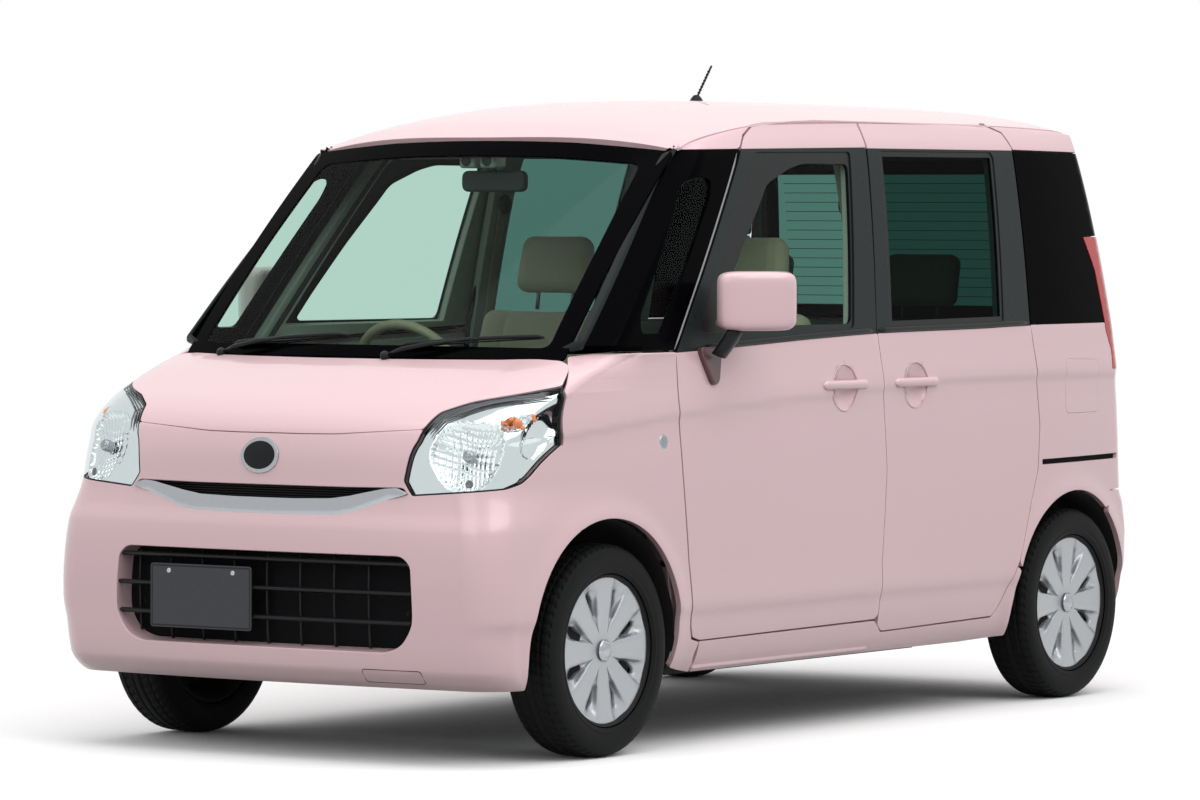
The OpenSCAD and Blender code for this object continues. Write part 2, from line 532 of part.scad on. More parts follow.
// ---------------------------------------------------------------- running gear
module engine_block() color("silver") slab(400, 560, 380, [1312, -30, 520]);
module front_suspension() color("dimgray") {
  slab(300, 560, 50, [1100, 0, 235]);
  bothways() {
    hull() { translate([1160, 270, 215]) sphere(22, $fn = 12); translate([1136, 520, 205]) sphere(18,
      $fn = 12); }
    translate([1136, 500, 470]) rotate([2, 0, 0]) cylinder(r = 26, h = 400);
    translate([1136, 484, 868]) cylinder(r = 80, h = 14);
  }
}
module rear_axle() color("dimgray") {
  translate([ax_r + 180, -520, tyre_r - 10]) rotate([-90, 0, 0]) cylinder(r = 32, h = 1040);
  bothways() {
    translate([ax_r - 30, 490, tyre_r - 28]) cube([520, 40, 56]);
    translate([ax_r, 518, tyre_r]) rotate([-90, 0, 0]) cylinder(r = 100, h = 38);
    translate([ax_r, 556, tyre_r]) rotate([-90, 0, 0]) cylinder(r = 28, h = 70);
    translate([ax_r + 60, 372, 285]) cylinder(r = 46, h = 132);
    translate([ax_r + 30, 340, 262]) cube([150, 64, 24]);
  }
}
module exhaust() color("gray") {
  translate([880, -150, 200]) rotate([0, -90, 0]) cylinder(r = 18, h = 1592);
  translate([-712, -150, 200]) rotate([0, -65, 0]) cylinder(r = 18, h = 100);
  translate([-712, -150, 200]) sphere(18);
  hull() for (y = [-260, -140]) translate([-770, y, 285]) rotate([0, -90, 0]) cylinder(r = 60, h = 290,
    $fn = 24);
  translate([-1050, -270, 323]) rotate([0, -90, 0]) cylinder(r = 18, h = 535);
  translate([-1585, -270, 323]) sphere(18);
  translate([-1585, -270, 323]) rotate([0, -150, 0]) cylinder(r = 18, h = 105);
}
module knuckle(s) translate([ax_f, 0, tyre_r]) {
  flip(s) {
    translate([0, 585, 0]) rotate([-90, 0, 0]) cylinder(r = 60, h = 30);
    translate([0, 610, 0]) rotate([-90, 0, 0]) cylinder(r = 28, h = 40);
    translate([-20, 575, -70]) cube([40, 25, 220]);
    translate([0, 575, 80]) cylinder(r = 20, h = 70);
  }
}
module knuckle_left() color("dimgray") knuckle(1);
module knuckle_right() color("dimgray") knuckle(-1);
// wheel about its own axis, outer face to +Z
module wheel_solid() difference() {
  union() {
    rotate_extrude($fn = 64) polygon([[178, -66], [190, -66], [184, -50], [172, -30], [176, 30],
      [184, 54], [196, 66], [198, 70], [186, 70], [172, 60], [166, 30], [163, -30], [172, -56]]);
    translate([0, 0, 26]) cylinder(r = 172, h = 8);
    rotate_extrude($fn = 64) polygon([[40, 26], [60, 52], [120, 56], [172, 62], [172, 52], [120, 44],
      [64, 34]]);
    cylinder(r = 56, h = 50);
  }
  translate([0, 0, -80]) cylinder(r = 28.4, h = 96);
  for (a = [0 : 45 : 315]) rotate([0, 0, a + 22.5]) translate([0, 0, -2]) linear_extrude(80)
    polygon([[98, 0], [102, -7], [112, -10], [146, -19], [157, -18], [162, -10], [163, 0], [162, 10],
      [157, 18], [146, 19], [112, 10], [102, 7]]);
}
module wheel_at(x, y, s) translate([x, s * y, tyre_r]) rotate([s > 0 ? -90 : 90, 0, 0]) wheel_solid();
module tyre_solid() rotate_extrude($fn = 72) polygon([[198.6, -68], [214, -77.5], [245, -77], [268, -68],
  [276, -58], [tyre_r, -40], [tyre_r, 40], [276, 58], [268, 68], [245, 77], [214, 77.5], [198.6, 71],
  [197.4, 60], [186, 50], [178, 30], [174, -28], [186, -52], [192, -64]]);
module tyre_at(x, y, s) translate([x, s * y, tyre_r]) rotate([s > 0 ? -90 : 90, 0, 0]) tyre_solid();
module wheel_fl() color("silver") wheel_at(ax_f, track_front / 2, 1);
module wheel_fr() color("silver") wheel_at(ax_f, track_front / 2, -1);
module wheel_rl() color("silver") wheel_at(ax_r, track_rear / 2, 1);
module wheel_rr() color("silver") wheel_at(ax_r, track_rear / 2, -1);
module tyre_fl() color("black") tyre_at(ax_f, track_front / 2, 1);
module tyre_fr() color("black") tyre_at(ax_f, track_front / 2, -1);
module tyre_rl() color("black") tyre_at(ax_r, track_rear / 2, 1);
module tyre_rr() color("black") tyre_at(ax_r, track_rear / 2, -1);

floor_pan();
side_frame_left();
side_frame_right();
roof_panel();
front_structure();
fenders();
front_bumper();
smile_bar();
lower_grille();
front_plate();
headlamps();
windshield();
cowl_wipers();
fixed_side_glass();
rear_door_left();
rear_door_right();
rear_door_glass();
rear_bumper();
tail_lamps();
dashboard();
driver_seat();
passenger_seat();
rear_seat();
engine_block();
front_suspension();
rear_axle();
exhaust();
antenna();
room_mirror();
hood();
front_door_left();
front_door_right();
door_glass_left();
door_glass_right();
mirror_left();
mirror_right();
tailgate();
tailgate_glass();
fuel_lid();
steering_wheel();
knuckle_left();
knuckle_right();
wheel_fl();
wheel_fr();
wheel_rl();
wheel_rr();
tyre_fl();
tyre_fr();
tyre_rl();
tyre_rr();
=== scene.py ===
import json
import math
import bpy
import numpy as np
from mathutils import Matrix, Vector
from mathutils.geometry import delaunay_2d_cdt

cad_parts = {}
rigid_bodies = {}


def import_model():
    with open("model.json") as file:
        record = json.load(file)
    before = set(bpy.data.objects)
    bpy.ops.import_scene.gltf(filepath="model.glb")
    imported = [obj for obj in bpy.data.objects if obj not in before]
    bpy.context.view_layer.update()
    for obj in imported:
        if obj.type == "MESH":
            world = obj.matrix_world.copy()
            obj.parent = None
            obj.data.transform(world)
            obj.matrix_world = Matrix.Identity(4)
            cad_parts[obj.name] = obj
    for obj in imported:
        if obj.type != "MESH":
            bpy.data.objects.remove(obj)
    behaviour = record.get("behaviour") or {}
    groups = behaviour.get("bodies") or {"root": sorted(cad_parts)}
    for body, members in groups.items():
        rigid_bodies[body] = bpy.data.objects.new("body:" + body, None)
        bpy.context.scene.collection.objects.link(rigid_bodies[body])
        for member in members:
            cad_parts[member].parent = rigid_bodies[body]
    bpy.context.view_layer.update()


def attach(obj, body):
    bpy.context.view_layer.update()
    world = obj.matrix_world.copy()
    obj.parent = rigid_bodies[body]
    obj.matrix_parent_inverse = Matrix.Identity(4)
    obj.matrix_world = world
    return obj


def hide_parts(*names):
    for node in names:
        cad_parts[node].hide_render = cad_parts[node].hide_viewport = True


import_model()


# ---- Finishes: pearl paint, black mouldings, glass, rubber and cloth, all procedural.
class Wire:
    """One socket; arithmetic on it makes Math nodes."""

    def __init__(self, mat, socket):
        self.mat, self.socket = mat, socket

    def math(self, op, *others):
        return self.mat.add("ShaderNodeMath", {"operation": op}, dict(enumerate((self,) + others)))

    def __add__(self, o): return self.math("ADD", o)
    def __radd__(self, o): return self.math("ADD", o)
    def __sub__(self, o): return self.math("SUBTRACT", o)
    def __rsub__(self, o): return self.math("MULTIPLY", -1.0).math("ADD", o)
    def __mul__(self, o): return self.math("MULTIPLY", o)
    def __rmul__(self, o): return self.math("MULTIPLY", o)
    def clip(self): return self.mat.add("ShaderNodeMath", {"operation": "ADD", "use_clamp": True},
                                        {0: self, 1: 0.0})

    def ramp(self, a, b):
        return self.mat.add("ShaderNodeMapRange", {"interpolation_type": "SMOOTHSTEP"},
                            {"Value": self, "From Min": a, "From Max": b})


class Mat:
    """A material, or the sky, and the nodes in it."""

    def __init__(self, name, store=None, end="ShaderNodeOutputMaterial"):
        self.m = (bpy.data.materials if store is None else store).new(name)
        self.m.use_nodes = True
        self.t = self.m.node_tree
        self.t.nodes.clear()
        self.out = self.t.nodes.new(end)

    def add(self, kind, settings=None, inputs=None, out=0):
        n = self.t.nodes.new(kind)
        for k, v in (settings or {}).items():
            if k == "stops":
                e = n.color_ramp.elements
                for i, (at, grey) in enumerate(v):
                    stop = e[i] if i < 2 else e.new(at)
                    stop.position, stop.color = at, (grey, grey, grey, 1)
            else:
                setattr(n, k, v)
        for k, v in (inputs or {}).items():
            if isinstance(v, Wire):
                self.t.links.new(v.socket, n.inputs[k])
            else:
                n.inputs[k].default_value = v
        return Wire(self, n.outputs[out])

    def where(self):
        return self.add("ShaderNodeTexCoord", out=3)

    def xyz(self):
        return [self.add("ShaderNodeSeparateXYZ", {}, {0: self.where()}, out=i) for i in range(3)]

    def noise(self, scale, detail=3.0, rough=0.55):
        return self.add("ShaderNodeTexNoise", {}, {"Vector": self.where(), "Scale": scale, "Detail": detail,
                                                   "Roughness": rough})

    def mix(self, f, a, b):
        a, b = (v if isinstance(v, Wire) else tuple(v) + (1,) for v in (a, b))
        return self.add("ShaderNodeMix", {"data_type": "RGBA"}, {0: f, 6: a, 7: b}, out=2)

    def bump(self, height, strength, dist=0.001):
        return self.add("ShaderNodeBump", {}, {"Height": height, "Strength": strength, "Distance": dist})

    def principled(self, color, rough, metal=0.0, **more):
        more = {k.replace("_", " "): tuple(v) + (1,) if isinstance(v, tuple) else v for k, v in more.items()}
        color = color if isinstance(color, Wire) else tuple(color) + (1,)
        return self.add("ShaderNodeBsdfPrincipled", {}, {"Base Color": color, "Roughness": rough,
                                                         "Metallic": metal, **more})

    def done(self, shader):
        self.t.links.new(shader.socket, self.out.inputs[0])
        return self.m


def paint():
    """Pearl pink body paint: a fine flake under a clear coat."""
    m = Mat("pearl_pink")
    f = m.noise(900.0, 2.0)
    big = m.noise(1.2, 2.0)
    col = m.mix(f * 0.35 + big * 0.15, (0.69, 0.475, 0.505), (0.77, 0.555, 0.585))
    return m.done(m.principled(col, f * 0.10 + 0.30, 0.08, Coat_Weight=0.6, Coat_Roughness=0.03, Coat_IOR=1.5,
                               Specular_IOR_Level=0.35))


def plain(name, color, rough, metal=0.0, grain=0.0, scale=60.0, vary=0.12, **more):
    m = Mat(name)
    f = m.noise(scale)
    col = m.mix(f, tuple(c * (1 - vary) for c in color), tuple(min(1, c * (1 + vary)) for c in color))
    if grain:
        more["Normal"] = m.bump(m.noise(scale * 14), grain)
    return m.done(m.principled(col, f * 0.12 + (rough - 0.06), metal, **more))


def glass(name, tint, shine=0.10, dark=(0.0, 0.0, 0.0)):
    m = Mat(name)
    clear = m.add("ShaderNodeBsdfTransparent", {}, {"Color": tint + (1,)})
    f = m.noise(3.0)
    gloss = m.principled(m.mix(f, dark, tuple(c + 0.01 for c in dark)), 0.02, 0.0, Specular_IOR_Level=0.8,
                         Coat_Weight=1.0)
    return m.done(m.add("ShaderNodeMixShader", {}, {0: shine, 1: clear, 2: gloss}))


M = {
    "paint": paint(),
    "black": plain("satin_black", (0.007, 0.008, 0.009), 0.30, Specular_IOR_Level=0.18),
    "frame": plain("door_frame_film", (0.014, 0.019, 0.020), 0.30, Specular_IOR_Level=0.12),
    "trim": plain("grained_black", (0.012, 0.0125, 0.013), 0.55, grain=0.25, Specular_IOR_Level=0.25),
    # Near-black backing for slots and openings: the dark parts behind them, and painted shade of the hollows.
    "hollow": plain("hollow_black", (0.004, 0.004, 0.005), 0.8, Specular_IOR_Level=0.1),
    "under": plain("underbody", (0.012, 0.012, 0.013), 0.7, grain=0.3, Specular_IOR_Level=0.25),
    "chrome": plain("satin_chrome", (0.38, 0.40, 0.42), 0.18, 1.0, vary=0.03),
    "bright": plain("lamp_reflector", (0.80, 0.83, 0.84), 0.07, 1.0, vary=0.02),
    "mirror": plain("mirror_glass", (0.70, 0.72, 0.73), 0.02, 1.0, vary=0.01),
    "screen": glass("screen_glass", (0.66, 0.82, 0.77), 0.06),
    "side": glass("side_glass", (0.72, 0.87, 0.80), 0.05),
    "privacy": glass("privacy_glass", (0.09, 0.20, 0.175), 0.03),
    "lens": glass("lamp_lens", (0.92, 0.95, 0.95), 0.07),
    "frit": plain("black_ceramic", (0.001, 0.001, 0.0015), 0.12, Specular_IOR_Level=0.01),
    "tyre": plain("tyre_rubber", (0.0055, 0.006, 0.0065), 0.66, grain=0.35, scale=90,
                  Specular_IOR_Level=0.14),
    "cover": plain("cover_silver", (0.42, 0.44, 0.46), 0.34, 0.6, vary=0.04, Coat_Weight=0.3),
    "steel": plain("steel", (0.20, 0.20, 0.21), 0.45, 0.9),
    "alloy": plain("cast_alloy", (0.30, 0.30, 0.31), 0.5, 0.8, grain=0.2),
    "cloth": plain("seat_cloth", (0.45, 0.38, 0.28), 0.9, grain=0.7, scale=120, Sheen_Weight=0.3),
    "liner": plain("pillar_liner", (0.42, 0.43, 0.38), 0.85, grain=0.3),
    "dash": plain("dash_plastic", (0.035, 0.037, 0.035), 0.6, grain=0.5),
    "tan": plain("tan_leather", (0.42, 0.34, 0.24), 0.5, grain=0.3),
    "carpet": plain("carpet", (0.06, 0.055, 0.05), 0.95, grain=0.8, scale=200),
    # Lamp red has a faint red emission: a painted glow, carried to the reflectors, fins, stop lamp and
    # battery post cap made in it.
    "red": plain("lamp_red", (0.42, 0.004, 0.006), 0.14, grain=0.25, scale=16, vary=0.2, Coat_Weight=0.5,
                 Specular_IOR_Level=0.25, Emission_Color=(0.4, 0.0, 0.0), Emission_Strength=0.05),
    "clear": plain("reverse_lamp_clear", (0.62, 0.64, 0.65), 0.10, 0.4, Coat_Weight=0.5),
    # The amber bulb's faint emission is a painted glow, on the bulb and its facets.
    "amber": plain("amber_bulb", (0.85, 0.22, 0.03), 0.12, Coat_Weight=1.0, Emission_Color=(0.9, 0.2, 0.02),
                   Emission_Strength=0.12),
    # Dark maroon on the mirror foot below the belt: painted reflection of the pink door skin and painted
    # shadow under the mirror.
    "foot": plain("mirror_foot_maroon", (0.10, 0.035, 0.035), 0.35, Coat_Weight=0.3),
    "plate": plain("plate_blank", (0.030, 0.032, 0.038), 0.35, Specular_IOR_Level=0.4),
}


# ---- Body surface: one smooth skin that the panels, lamps and glass are cut from.
def curve(*pts):
    """Smooth curve through the points that never overshoots them."""
    x, y = np.array(pts, float).T
    d = np.diff(y) / np.diff(x)
    m = np.concatenate([[d[0]], np.where(d[:-1] * d[1:] > 0, 2 * d[:-1] * d[1:] / (d[:-1] + d[1:] + 1e-30),
                                         0), [d[-1]]])

    def f(t):
        t = np.clip(t, x[0], x[-1])
        i = np.clip(np.searchsorted(x, t) - 1, 0, len(x) - 2)
        h = x[i + 1] - x[i]
        s = (t - x[i]) / h
        return ((2 * s**3 - 3 * s**2 + 1) * y[i] + (s**3 - 2 * s**2 + s) * h * m[i]
                + (3 * s**2 - 2 * s**3) * y[i + 1] + (s**3 - s**2) * h * m[i + 1])
    return f


# Half width against height, its loss towards the front, and the round shoulder of the wings.
SEC = curve((170, 655), (200, 682), (240, 702), (300, 717), (345, 724.5), (372, 732), (392, 734.5),
            (480, 736.5), (600, 737.5), (700, 737), (800, 734.5), (870, 731.5), (900, 731), (922, 735),
            (945, 733.5), (1000, 727), (1070, 719), (1090, 716), (1300, 683), (1500, 645), (1590, 624),
            (1640, 606), (1670, 588), (1700, 556))
FT = curve((200, -20), (330, 4), (450, 10), (600, 22), (720, 50), (1000, 50), (1100, 40), (1600, 20))
SH = curve((950, 0), (1000, 8), (1020, 18), (1035, 36), (1045, 60), (1052, 80))
# The nose against height: how far forward, corner radius and bow; then the tail, and the roof.
NX = curve((185, 1622), (210, 1656), (250, 1684), (340, 1694), (450, 1697.5), (540, 1695), (600, 1690),
           (650, 1676), (700, 1668), (780, 1662), (845, 1646), (880, 1622), (920, 1570), (960, 1490),
           (1000, 1400), (1030, 1312), (1052, 1240), (1060, 1180))
RR = curve((200, 120), (450, 110), (600, 115), (720, 130), (850, 150), (960, 180), (1050, 210))
BO = curve((200, 40), (450, 38), (700, 50), (850, 70), (1000, 100), (1050, 110))
RX = curve((190, 1640), (230, 1680), (330, 1697.5), (480, 1697.5), (560, 1690), (600, 1668), (900, 1652),
           (1100, 1640), (1400, 1606), (1600, 1572), (1690, 1548), (1720, 1530))
ZC = curve((-1640, 1665), (-1600, 1684), (-1560, 1698), (-1500, 1712), (-1350, 1726), (-1000, 1733),
           (-500, 1735), (-200, 1735), (0, 1732), (250, 1716), (450, 1690), (560, 1668), (640, 1640),
           (705, 1612), (760, 1570))
# Axles and tyre radius, arch circles, and where the charts of nose, tail and roof bend.
AX_F, AX_R, TYRE = 1136.5, -1288.5, 278.5
ARCH_F, ARCH_R = (1160, 280, 345), (-1270, 272, 340)
NOSE_BEND, NOSE_END = 560, 760
TAIL_BEND, TAIL_RADIUS = 188.5, 120
ROOF_DROP, ROOF_HALF, ROOF_TAPER = 60, 590, 0.0000023


def unit(v):
    """The vectors scaled to length one."""
    return v / np.maximum(np.linalg.norm(v, axis=-1, keepdims=True), 1e-12)


def flare(x, z):
    """The wheel arch lips stand out a little."""
    f = 0
    for cx, cz, r in (ARCH_F, ARCH_R):
        d = np.hypot(x - cx, z - cz) - r
        f = f + 7 * np.exp(-(np.maximum(d, 0) / 38) ** 2) * (z > 100)
    return f


CREST = curve((-1700, 952), (-1445, 957), (-1048, 958), (-513, 950), (-186, 937), (112, 926), (480, 910),
              (843, 889), (1321, 843), (1500, 820), (1700, 790))


def side_y(x, z):
    """Half width of the body at x and z, before the cabin leans in."""
    k = np.clip((1080 - z) / 120, 0, 1)
    lift = (k * (CREST(x) - 922) - (1 - k) * 0.022 * x) * np.clip((z - 420) / 450, 0, 1)
    sh = np.where(z < 1060, np.clip((x - 980) / 200, 0, 1) * SH(z), 0)
    return (SEC(z - lift) - np.clip((x - 900) / 700, 0, None) ** 2 * FT(z)
            - np.clip((-1100 - x) / 600, 0, None) ** 2 * 34 - sh + flare(x, z))


def xa(z):
    """x of the screen pillar at height z."""
    return 1195 - (z - 1045) * 555 / 543


def cabin(x, z):
    """Half width with the cabin drawn in towards the screen."""
    return side_y(x, z) - 70 * (1 - np.clip((xa(z) - x) / 120, 0, 1)) ** 2


def stack(x, y, z):
    """Points from their coordinates, any of which may be one number."""
    return np.stack(np.broadcast_arrays(x, y, z), -1).astype(float)


def side(x, z):
    """Chart of the doors: x and z."""
    return stack(x, cabin(x, z), z)


Z_TAB = np.linspace(185, 1059, 400)
V_TAB = np.concatenate([[0], np.cumsum(np.hypot(np.diff(Z_TAB), np.diff(NX(Z_TAB))))])


def v_of(z):
    """Distance up the nose profile at height z."""
    return np.interp(z, Z_TAB, V_TAB)


def nose_frame(z):
    """Sizes of the front end at height z: reach, radius, bow and the corner's centre."""
    f, r, bo = NX(z), RR(z), BO(z)
    b = side_y(f - r - bo * 0.7, z)
    yc = b - r
    return f, r, bo, b, yc, f - bo * (yc / b) ** 2 - r


def nose(a, v):
    """Chart of the front end: distance round the car from the centre line, and up the profile."""
    s, a, z = np.sign(a), np.abs(a), np.interp(v, V_TAB, Z_TAB)
    f, r, bo, b, yc, xc = nose_frame(z)
    t = np.clip((a - NOSE_BEND) / (NOSE_END - NOSE_BEND), 0, 1) * np.pi / 2
    xs = xc - np.clip(a - NOSE_END, 0, None)
    ys = side_y(xs, z) + (b - side_y(xc, z)) * np.clip(1 - (xc - xs) / 500, 0, None)
    y1 = np.clip(a / NOSE_BEND, 0, 1) * yc
    x = np.where(a < NOSE_BEND, f - bo * (y1 / b) ** 2, np.where(a < NOSE_END, xc + r * np.cos(t), xs))
    y = np.where(a < NOSE_BEND, y1, np.where(a < NOSE_END, yc + r * np.sin(t), ys))
    return stack(x, s * y, z)


def tail(c, z):
    """Chart of the rear end: distance back from the start of the rear corner, and z."""
    rx = -RX(z)
    br = side_y(rx + 150, z)
    yr = br - TAIL_RADIUS
    xr = rx + 30 * (yr / br) ** 2 + TAIL_RADIUS
    t = np.clip(c / TAIL_BEND, 0, 1) * np.pi / 2
    xs = xr - np.minimum(c, 0)
    y3 = yr - np.clip(c - TAIL_BEND, 0, None)
    x = np.where(c < 0, xs, np.where(c < TAIL_BEND, xr - TAIL_RADIUS * np.sin(t), rx + 30 * (y3 / br) ** 2))
    y = np.where(c < 0, side_y(xs, z), np.where(c < TAIL_BEND, yr + TAIL_RADIUS * np.cos(t), y3))
    return stack(x, y, z)


def roof(x, y):
    """Chart of the roof: x and y, crowned, a little narrower at the back."""
    k = 1 - ROOF_TAPER * np.clip(-1390 - x, 0, None) ** 2
    return stack(x, y * k, ZC(x) - ROOF_DROP * np.abs(y / ROOF_HALF) ** 2.8)


def screen(p, q):
    """Chart of the windscreen: across and up, both in millimetres."""
    v, w = q / 815, 634 - 30 * q / 815
    u = p / w
    bul = 52 * v * (1 - v) * 0.7
    return stack(1292 - 97 * u * u - v * (587 - 32 * u * u) + bul, p,
                 1043 - 3 * u * u + v * (569 - 21 * u * u) + bul)


def rounded(pts, r=12, n=5):
    """The polygon with its corners rounded off."""
    p, out = np.array(pts, float), []
    p = p[np.linalg.norm(p - np.roll(p, 1, 0), axis=1) > 0.05]
    for i in range(len(p)):
        a, b, c = p[i - 1], p[i], p[(i + 1) % len(p)]
        d = min(r, 0.45 * np.linalg.norm(a - b), 0.45 * np.linalg.norm(c - b))
        s, e = b + (a - b) / np.linalg.norm(a - b) * d, b + (c - b) / np.linalg.norm(c - b) * d
        out += [(1 - t) ** 2 * s + 2 * t * (1 - t) * b + t * t * e for t in np.linspace(0, 1, n)]
    return np.array(out)


def inset(p, d):
    """The closed outline moved inwards by d; outwards if d is negative."""
    p = np.array(p, float)
    turn = np.sum(p[:, 0] * np.roll(p[:, 1], -1) - np.roll(p[:, 0], -1) * p[:, 1])
    e = unit(np.roll(p, -1, 0) - p)
    e0 = np.roll(e, 1, 0)
    n = np.stack([-e[:, 1], e[:, 0]], 1) * np.sign(turn)
    n0 = np.stack([-e0[:, 1], e0[:, 0]], 1) * np.sign(turn)
    m = unit(n + n0)
    return p + m * d / np.maximum((m * n).sum(1, keepdims=True), 0.5)


def resample(p, step):
    """Closed outline with a point at least every step."""
    out = []
    for a, b in zip(p, np.roll(p, -1, 0)):
        n = max(1, int(np.ceil(np.linalg.norm(b - a) / step)))
        out += [a + (b - a) * t for t in np.arange(n) / n]
    return np.array(out)


def dense(p, step):
    """Open line with a point at least every step."""
    p = np.array(p, float)
    out = []
    for a, b in zip(p, p[1:]):
        n = max(1, int(np.ceil(np.linalg.norm(b - a) / step)))
        out.append(a + (b - a) * np.linspace(0, 1, n + 1)[:-1, None])
    return np.concatenate(out + [p[-1:]])


def inside(q, poly):
    """Which points q are inside the polygon."""
    x, y = q[:, 0][:, None], q[:, 1][:, None]
    a, b = poly, np.roll(poly, -1, 0)
    crossing = (b[:, 0] - a[:, 0]) * (y - a[:, 1]) / (b[:, 1] - a[:, 1] + 1e-30) + a[:, 0]
    return (((a[:, 1] > y) != (b[:, 1] > y)) & (x < crossing)).sum(1) % 2 == 1


def near(q, poly, d):
    """Which points q are nearer to the outline than d."""
    a, b = poly, np.roll(poly, -1, 0)
    e = b - a
    t = np.clip(((q[:, None] - a) * e).sum(2) / ((e * e).sum(1) + 1e-12), 0, 1)
    return np.min(np.linalg.norm(q[:, None] - a - t[..., None] * e, axis=2), 1) < d


def grid_faces(n, m):
    """Faces of a tube of n rings of m points."""
    return [[i * m + j, i * m + (j + 1) % m, (i + 1) * m + (j + 1) % m, (i + 1) * m + j]
            for i in range(n - 1) for j in range(m)]


def caps(n, m):
    """Faces that close the two ends of such a tube."""
    return [list(range(m))[::-1], [(n - 1) * m + j for j in range(m)]]


def finish_mesh(name, P, faces, mat, body, nodes=(), normals=None):
    """A piece from its points in millimetres and its faces, in a finish, on a body."""
    me = bpy.data.meshes.new(name)
    me.from_pydata((np.asarray(P) / 1000).tolist(), [], [list(map(int, f)) for f in faces])
    me.materials.append(M[mat])
    me.polygons.foreach_set("use_smooth", np.ones(len(me.polygons), bool))
    if normals is not None:
        me.normals_split_custom_set_from_vertices(np.asarray(normals).tolist())
    o = bpy.data.objects.new(name, me)
    bpy.context.scene.collection.objects.link(o)
    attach(o, body)
    for n in nodes:
        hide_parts(n)
    return o


def sheet_of(chart, outer, holes=(), step=16.0, off=0.0, sign=None, lip=14.0, edge=1.4, mirror=False,
             flip=False, hole=None):
    """Vertices, faces and normals of a skin over the outline, with a rolled edge lip deep."""
    loops = [resample(np.array(p, float), step * 0.6) for p in (outer, *holes)]
    o = loops[0]
    g = np.stack(np.meshgrid(np.arange(o[:, 0].min(), o[:, 0].max(), step),
                             np.arange(o[:, 1].min(), o[:, 1].max(), step)), -1).reshape(-1, 2)
    g[:, 0] += (np.round((g[:, 1] - g[0, 1]) / step) % 2) * step * 0.5
    g = g[inside(g, o)]
    for h in loops[1:]:
        g = g[~inside(g, h)]
    for l in loops:
        parts = [g[i:i + 4000] for i in range(0, len(g), 4000)]
        g = np.concatenate([q[~near(q, l, step * 0.42)] for q in parts]) if parts else g
    pts, edges, k = np.concatenate(loops + [g]), [], 0
    for l in loops:
        edges += [(k + i, k + (i + 1) % len(l)) for i in range(len(l))]
        k += len(l)
    v2, _, faces, ov, _, _ = delaunay_2d_cdt([Vector(p) for p in pts], edges, [], 0, 1e-4)
    v2 = np.array(v2)
    where = np.full(len(pts), -1)
    for i, src in enumerate(ov):
        for j in src:
            where[j] = i
    F = np.array([f for f in faces if len(f) == 3])
    c = v2[F].mean(1)
    keep = inside(c, loops[0])
    for l in loops[1:]:
        keep &= ~inside(c, l)
    F = F[keep]

    def at(q, sign=1):
        P = chart(q[:, 0], q[:, 1])
        h = 0.8
        N = unit(np.cross(chart(q[:, 0] + h, q[:, 1]) - chart(q[:, 0] - h, q[:, 1]),
                          chart(q[:, 0], q[:, 1] + h) - chart(q[:, 0], q[:, 1] - h))) * sign
        return P + N * off, N

    if sign is None:
        P, N = at(v2)
        sign = np.sign((N * (P - np.clip(P, (-1100, 0, 900), (1100, 0, 900)))).sum())

    P, N = at(v2, sign)
    P, N, F = [P], [N], [list(f) for f in F]
    A = P[0][np.array(F)]
    if (np.cross(A[:, 1] - A[:, 0], A[:, 2] - A[:, 0]) * N[0][np.array(F)[:, 0]]).sum() < 0:
        F = [f[::-1] for f in F]
    count, k = len(v2), 0
    if lip:
        for l in loops:
            idx = where[k:k + len(l)]
            k += len(l)
            p, n = P[0][idx], N[0][idx]
            t = unit(np.roll(p, -1, 0) - np.roll(p, 1, 0))
            b = unit(np.cross(t, n))
            outw = inset(l, -2.0) if l is loops[0] else inset(l, 2.0)
            d = at(outw, sign)[0] - p
            b *= np.sign((b * d).sum(1, keepdims=True).mean())
            rings = [idx]
            e, dp = (edge, lip) if hole is None or l is loops[0] else hole
            for db, dn, nb in ((e * 0.38, e * 0.08, 0.41), (e * 0.71, e * 0.29, 1.0),
                               (e * 0.92, e * 0.62, 2.4), (e, e, 20.0), (e, e + dp, 20.0)):
                P.append(p + b * db - n * dn)
                N.append(unit(n / (1 + nb) + b * nb))
                rings.append(np.arange(count, count + len(l)))
                count += len(l)
            m = len(l)
            q = np.cross(p[1 % m] - p[0], b[0])
            turn = np.dot(q, n[0]) < 0
            for r0, r1 in zip(rings, rings[1:]):
                for i in range(m):
                    f = [r0[i], r0[(i + 1) % m], r1[(i + 1) % m], r1[i]]
                    F.append(f if not turn else f[::-1])
    P, N = np.concatenate(P), np.concatenate(N)
    if flip:
        N, F = -N, [f[::-1] for f in F]
    if mirror:
        P, N, F = P * [1, -1, 1], N * [1, -1, 1], [f[::-1] for f in F]
    return P, F, N


def panel(name, chart, outer, mat, body, nodes=(), both=False, **kw):
    """A sheet as a piece, on one side or on both."""
    P, F, N = sheet_of(chart, outer, **kw)
    if both:
        n = len(P)
        F = F + [[i + n for i in f[::-1]] for f in F]
        P, N = np.concatenate([P, P * [1, -1, 1]]), np.concatenate([N, N * [1, -1, 1]])
    return finish_mesh(name, P, F, mat, body, nodes, N)


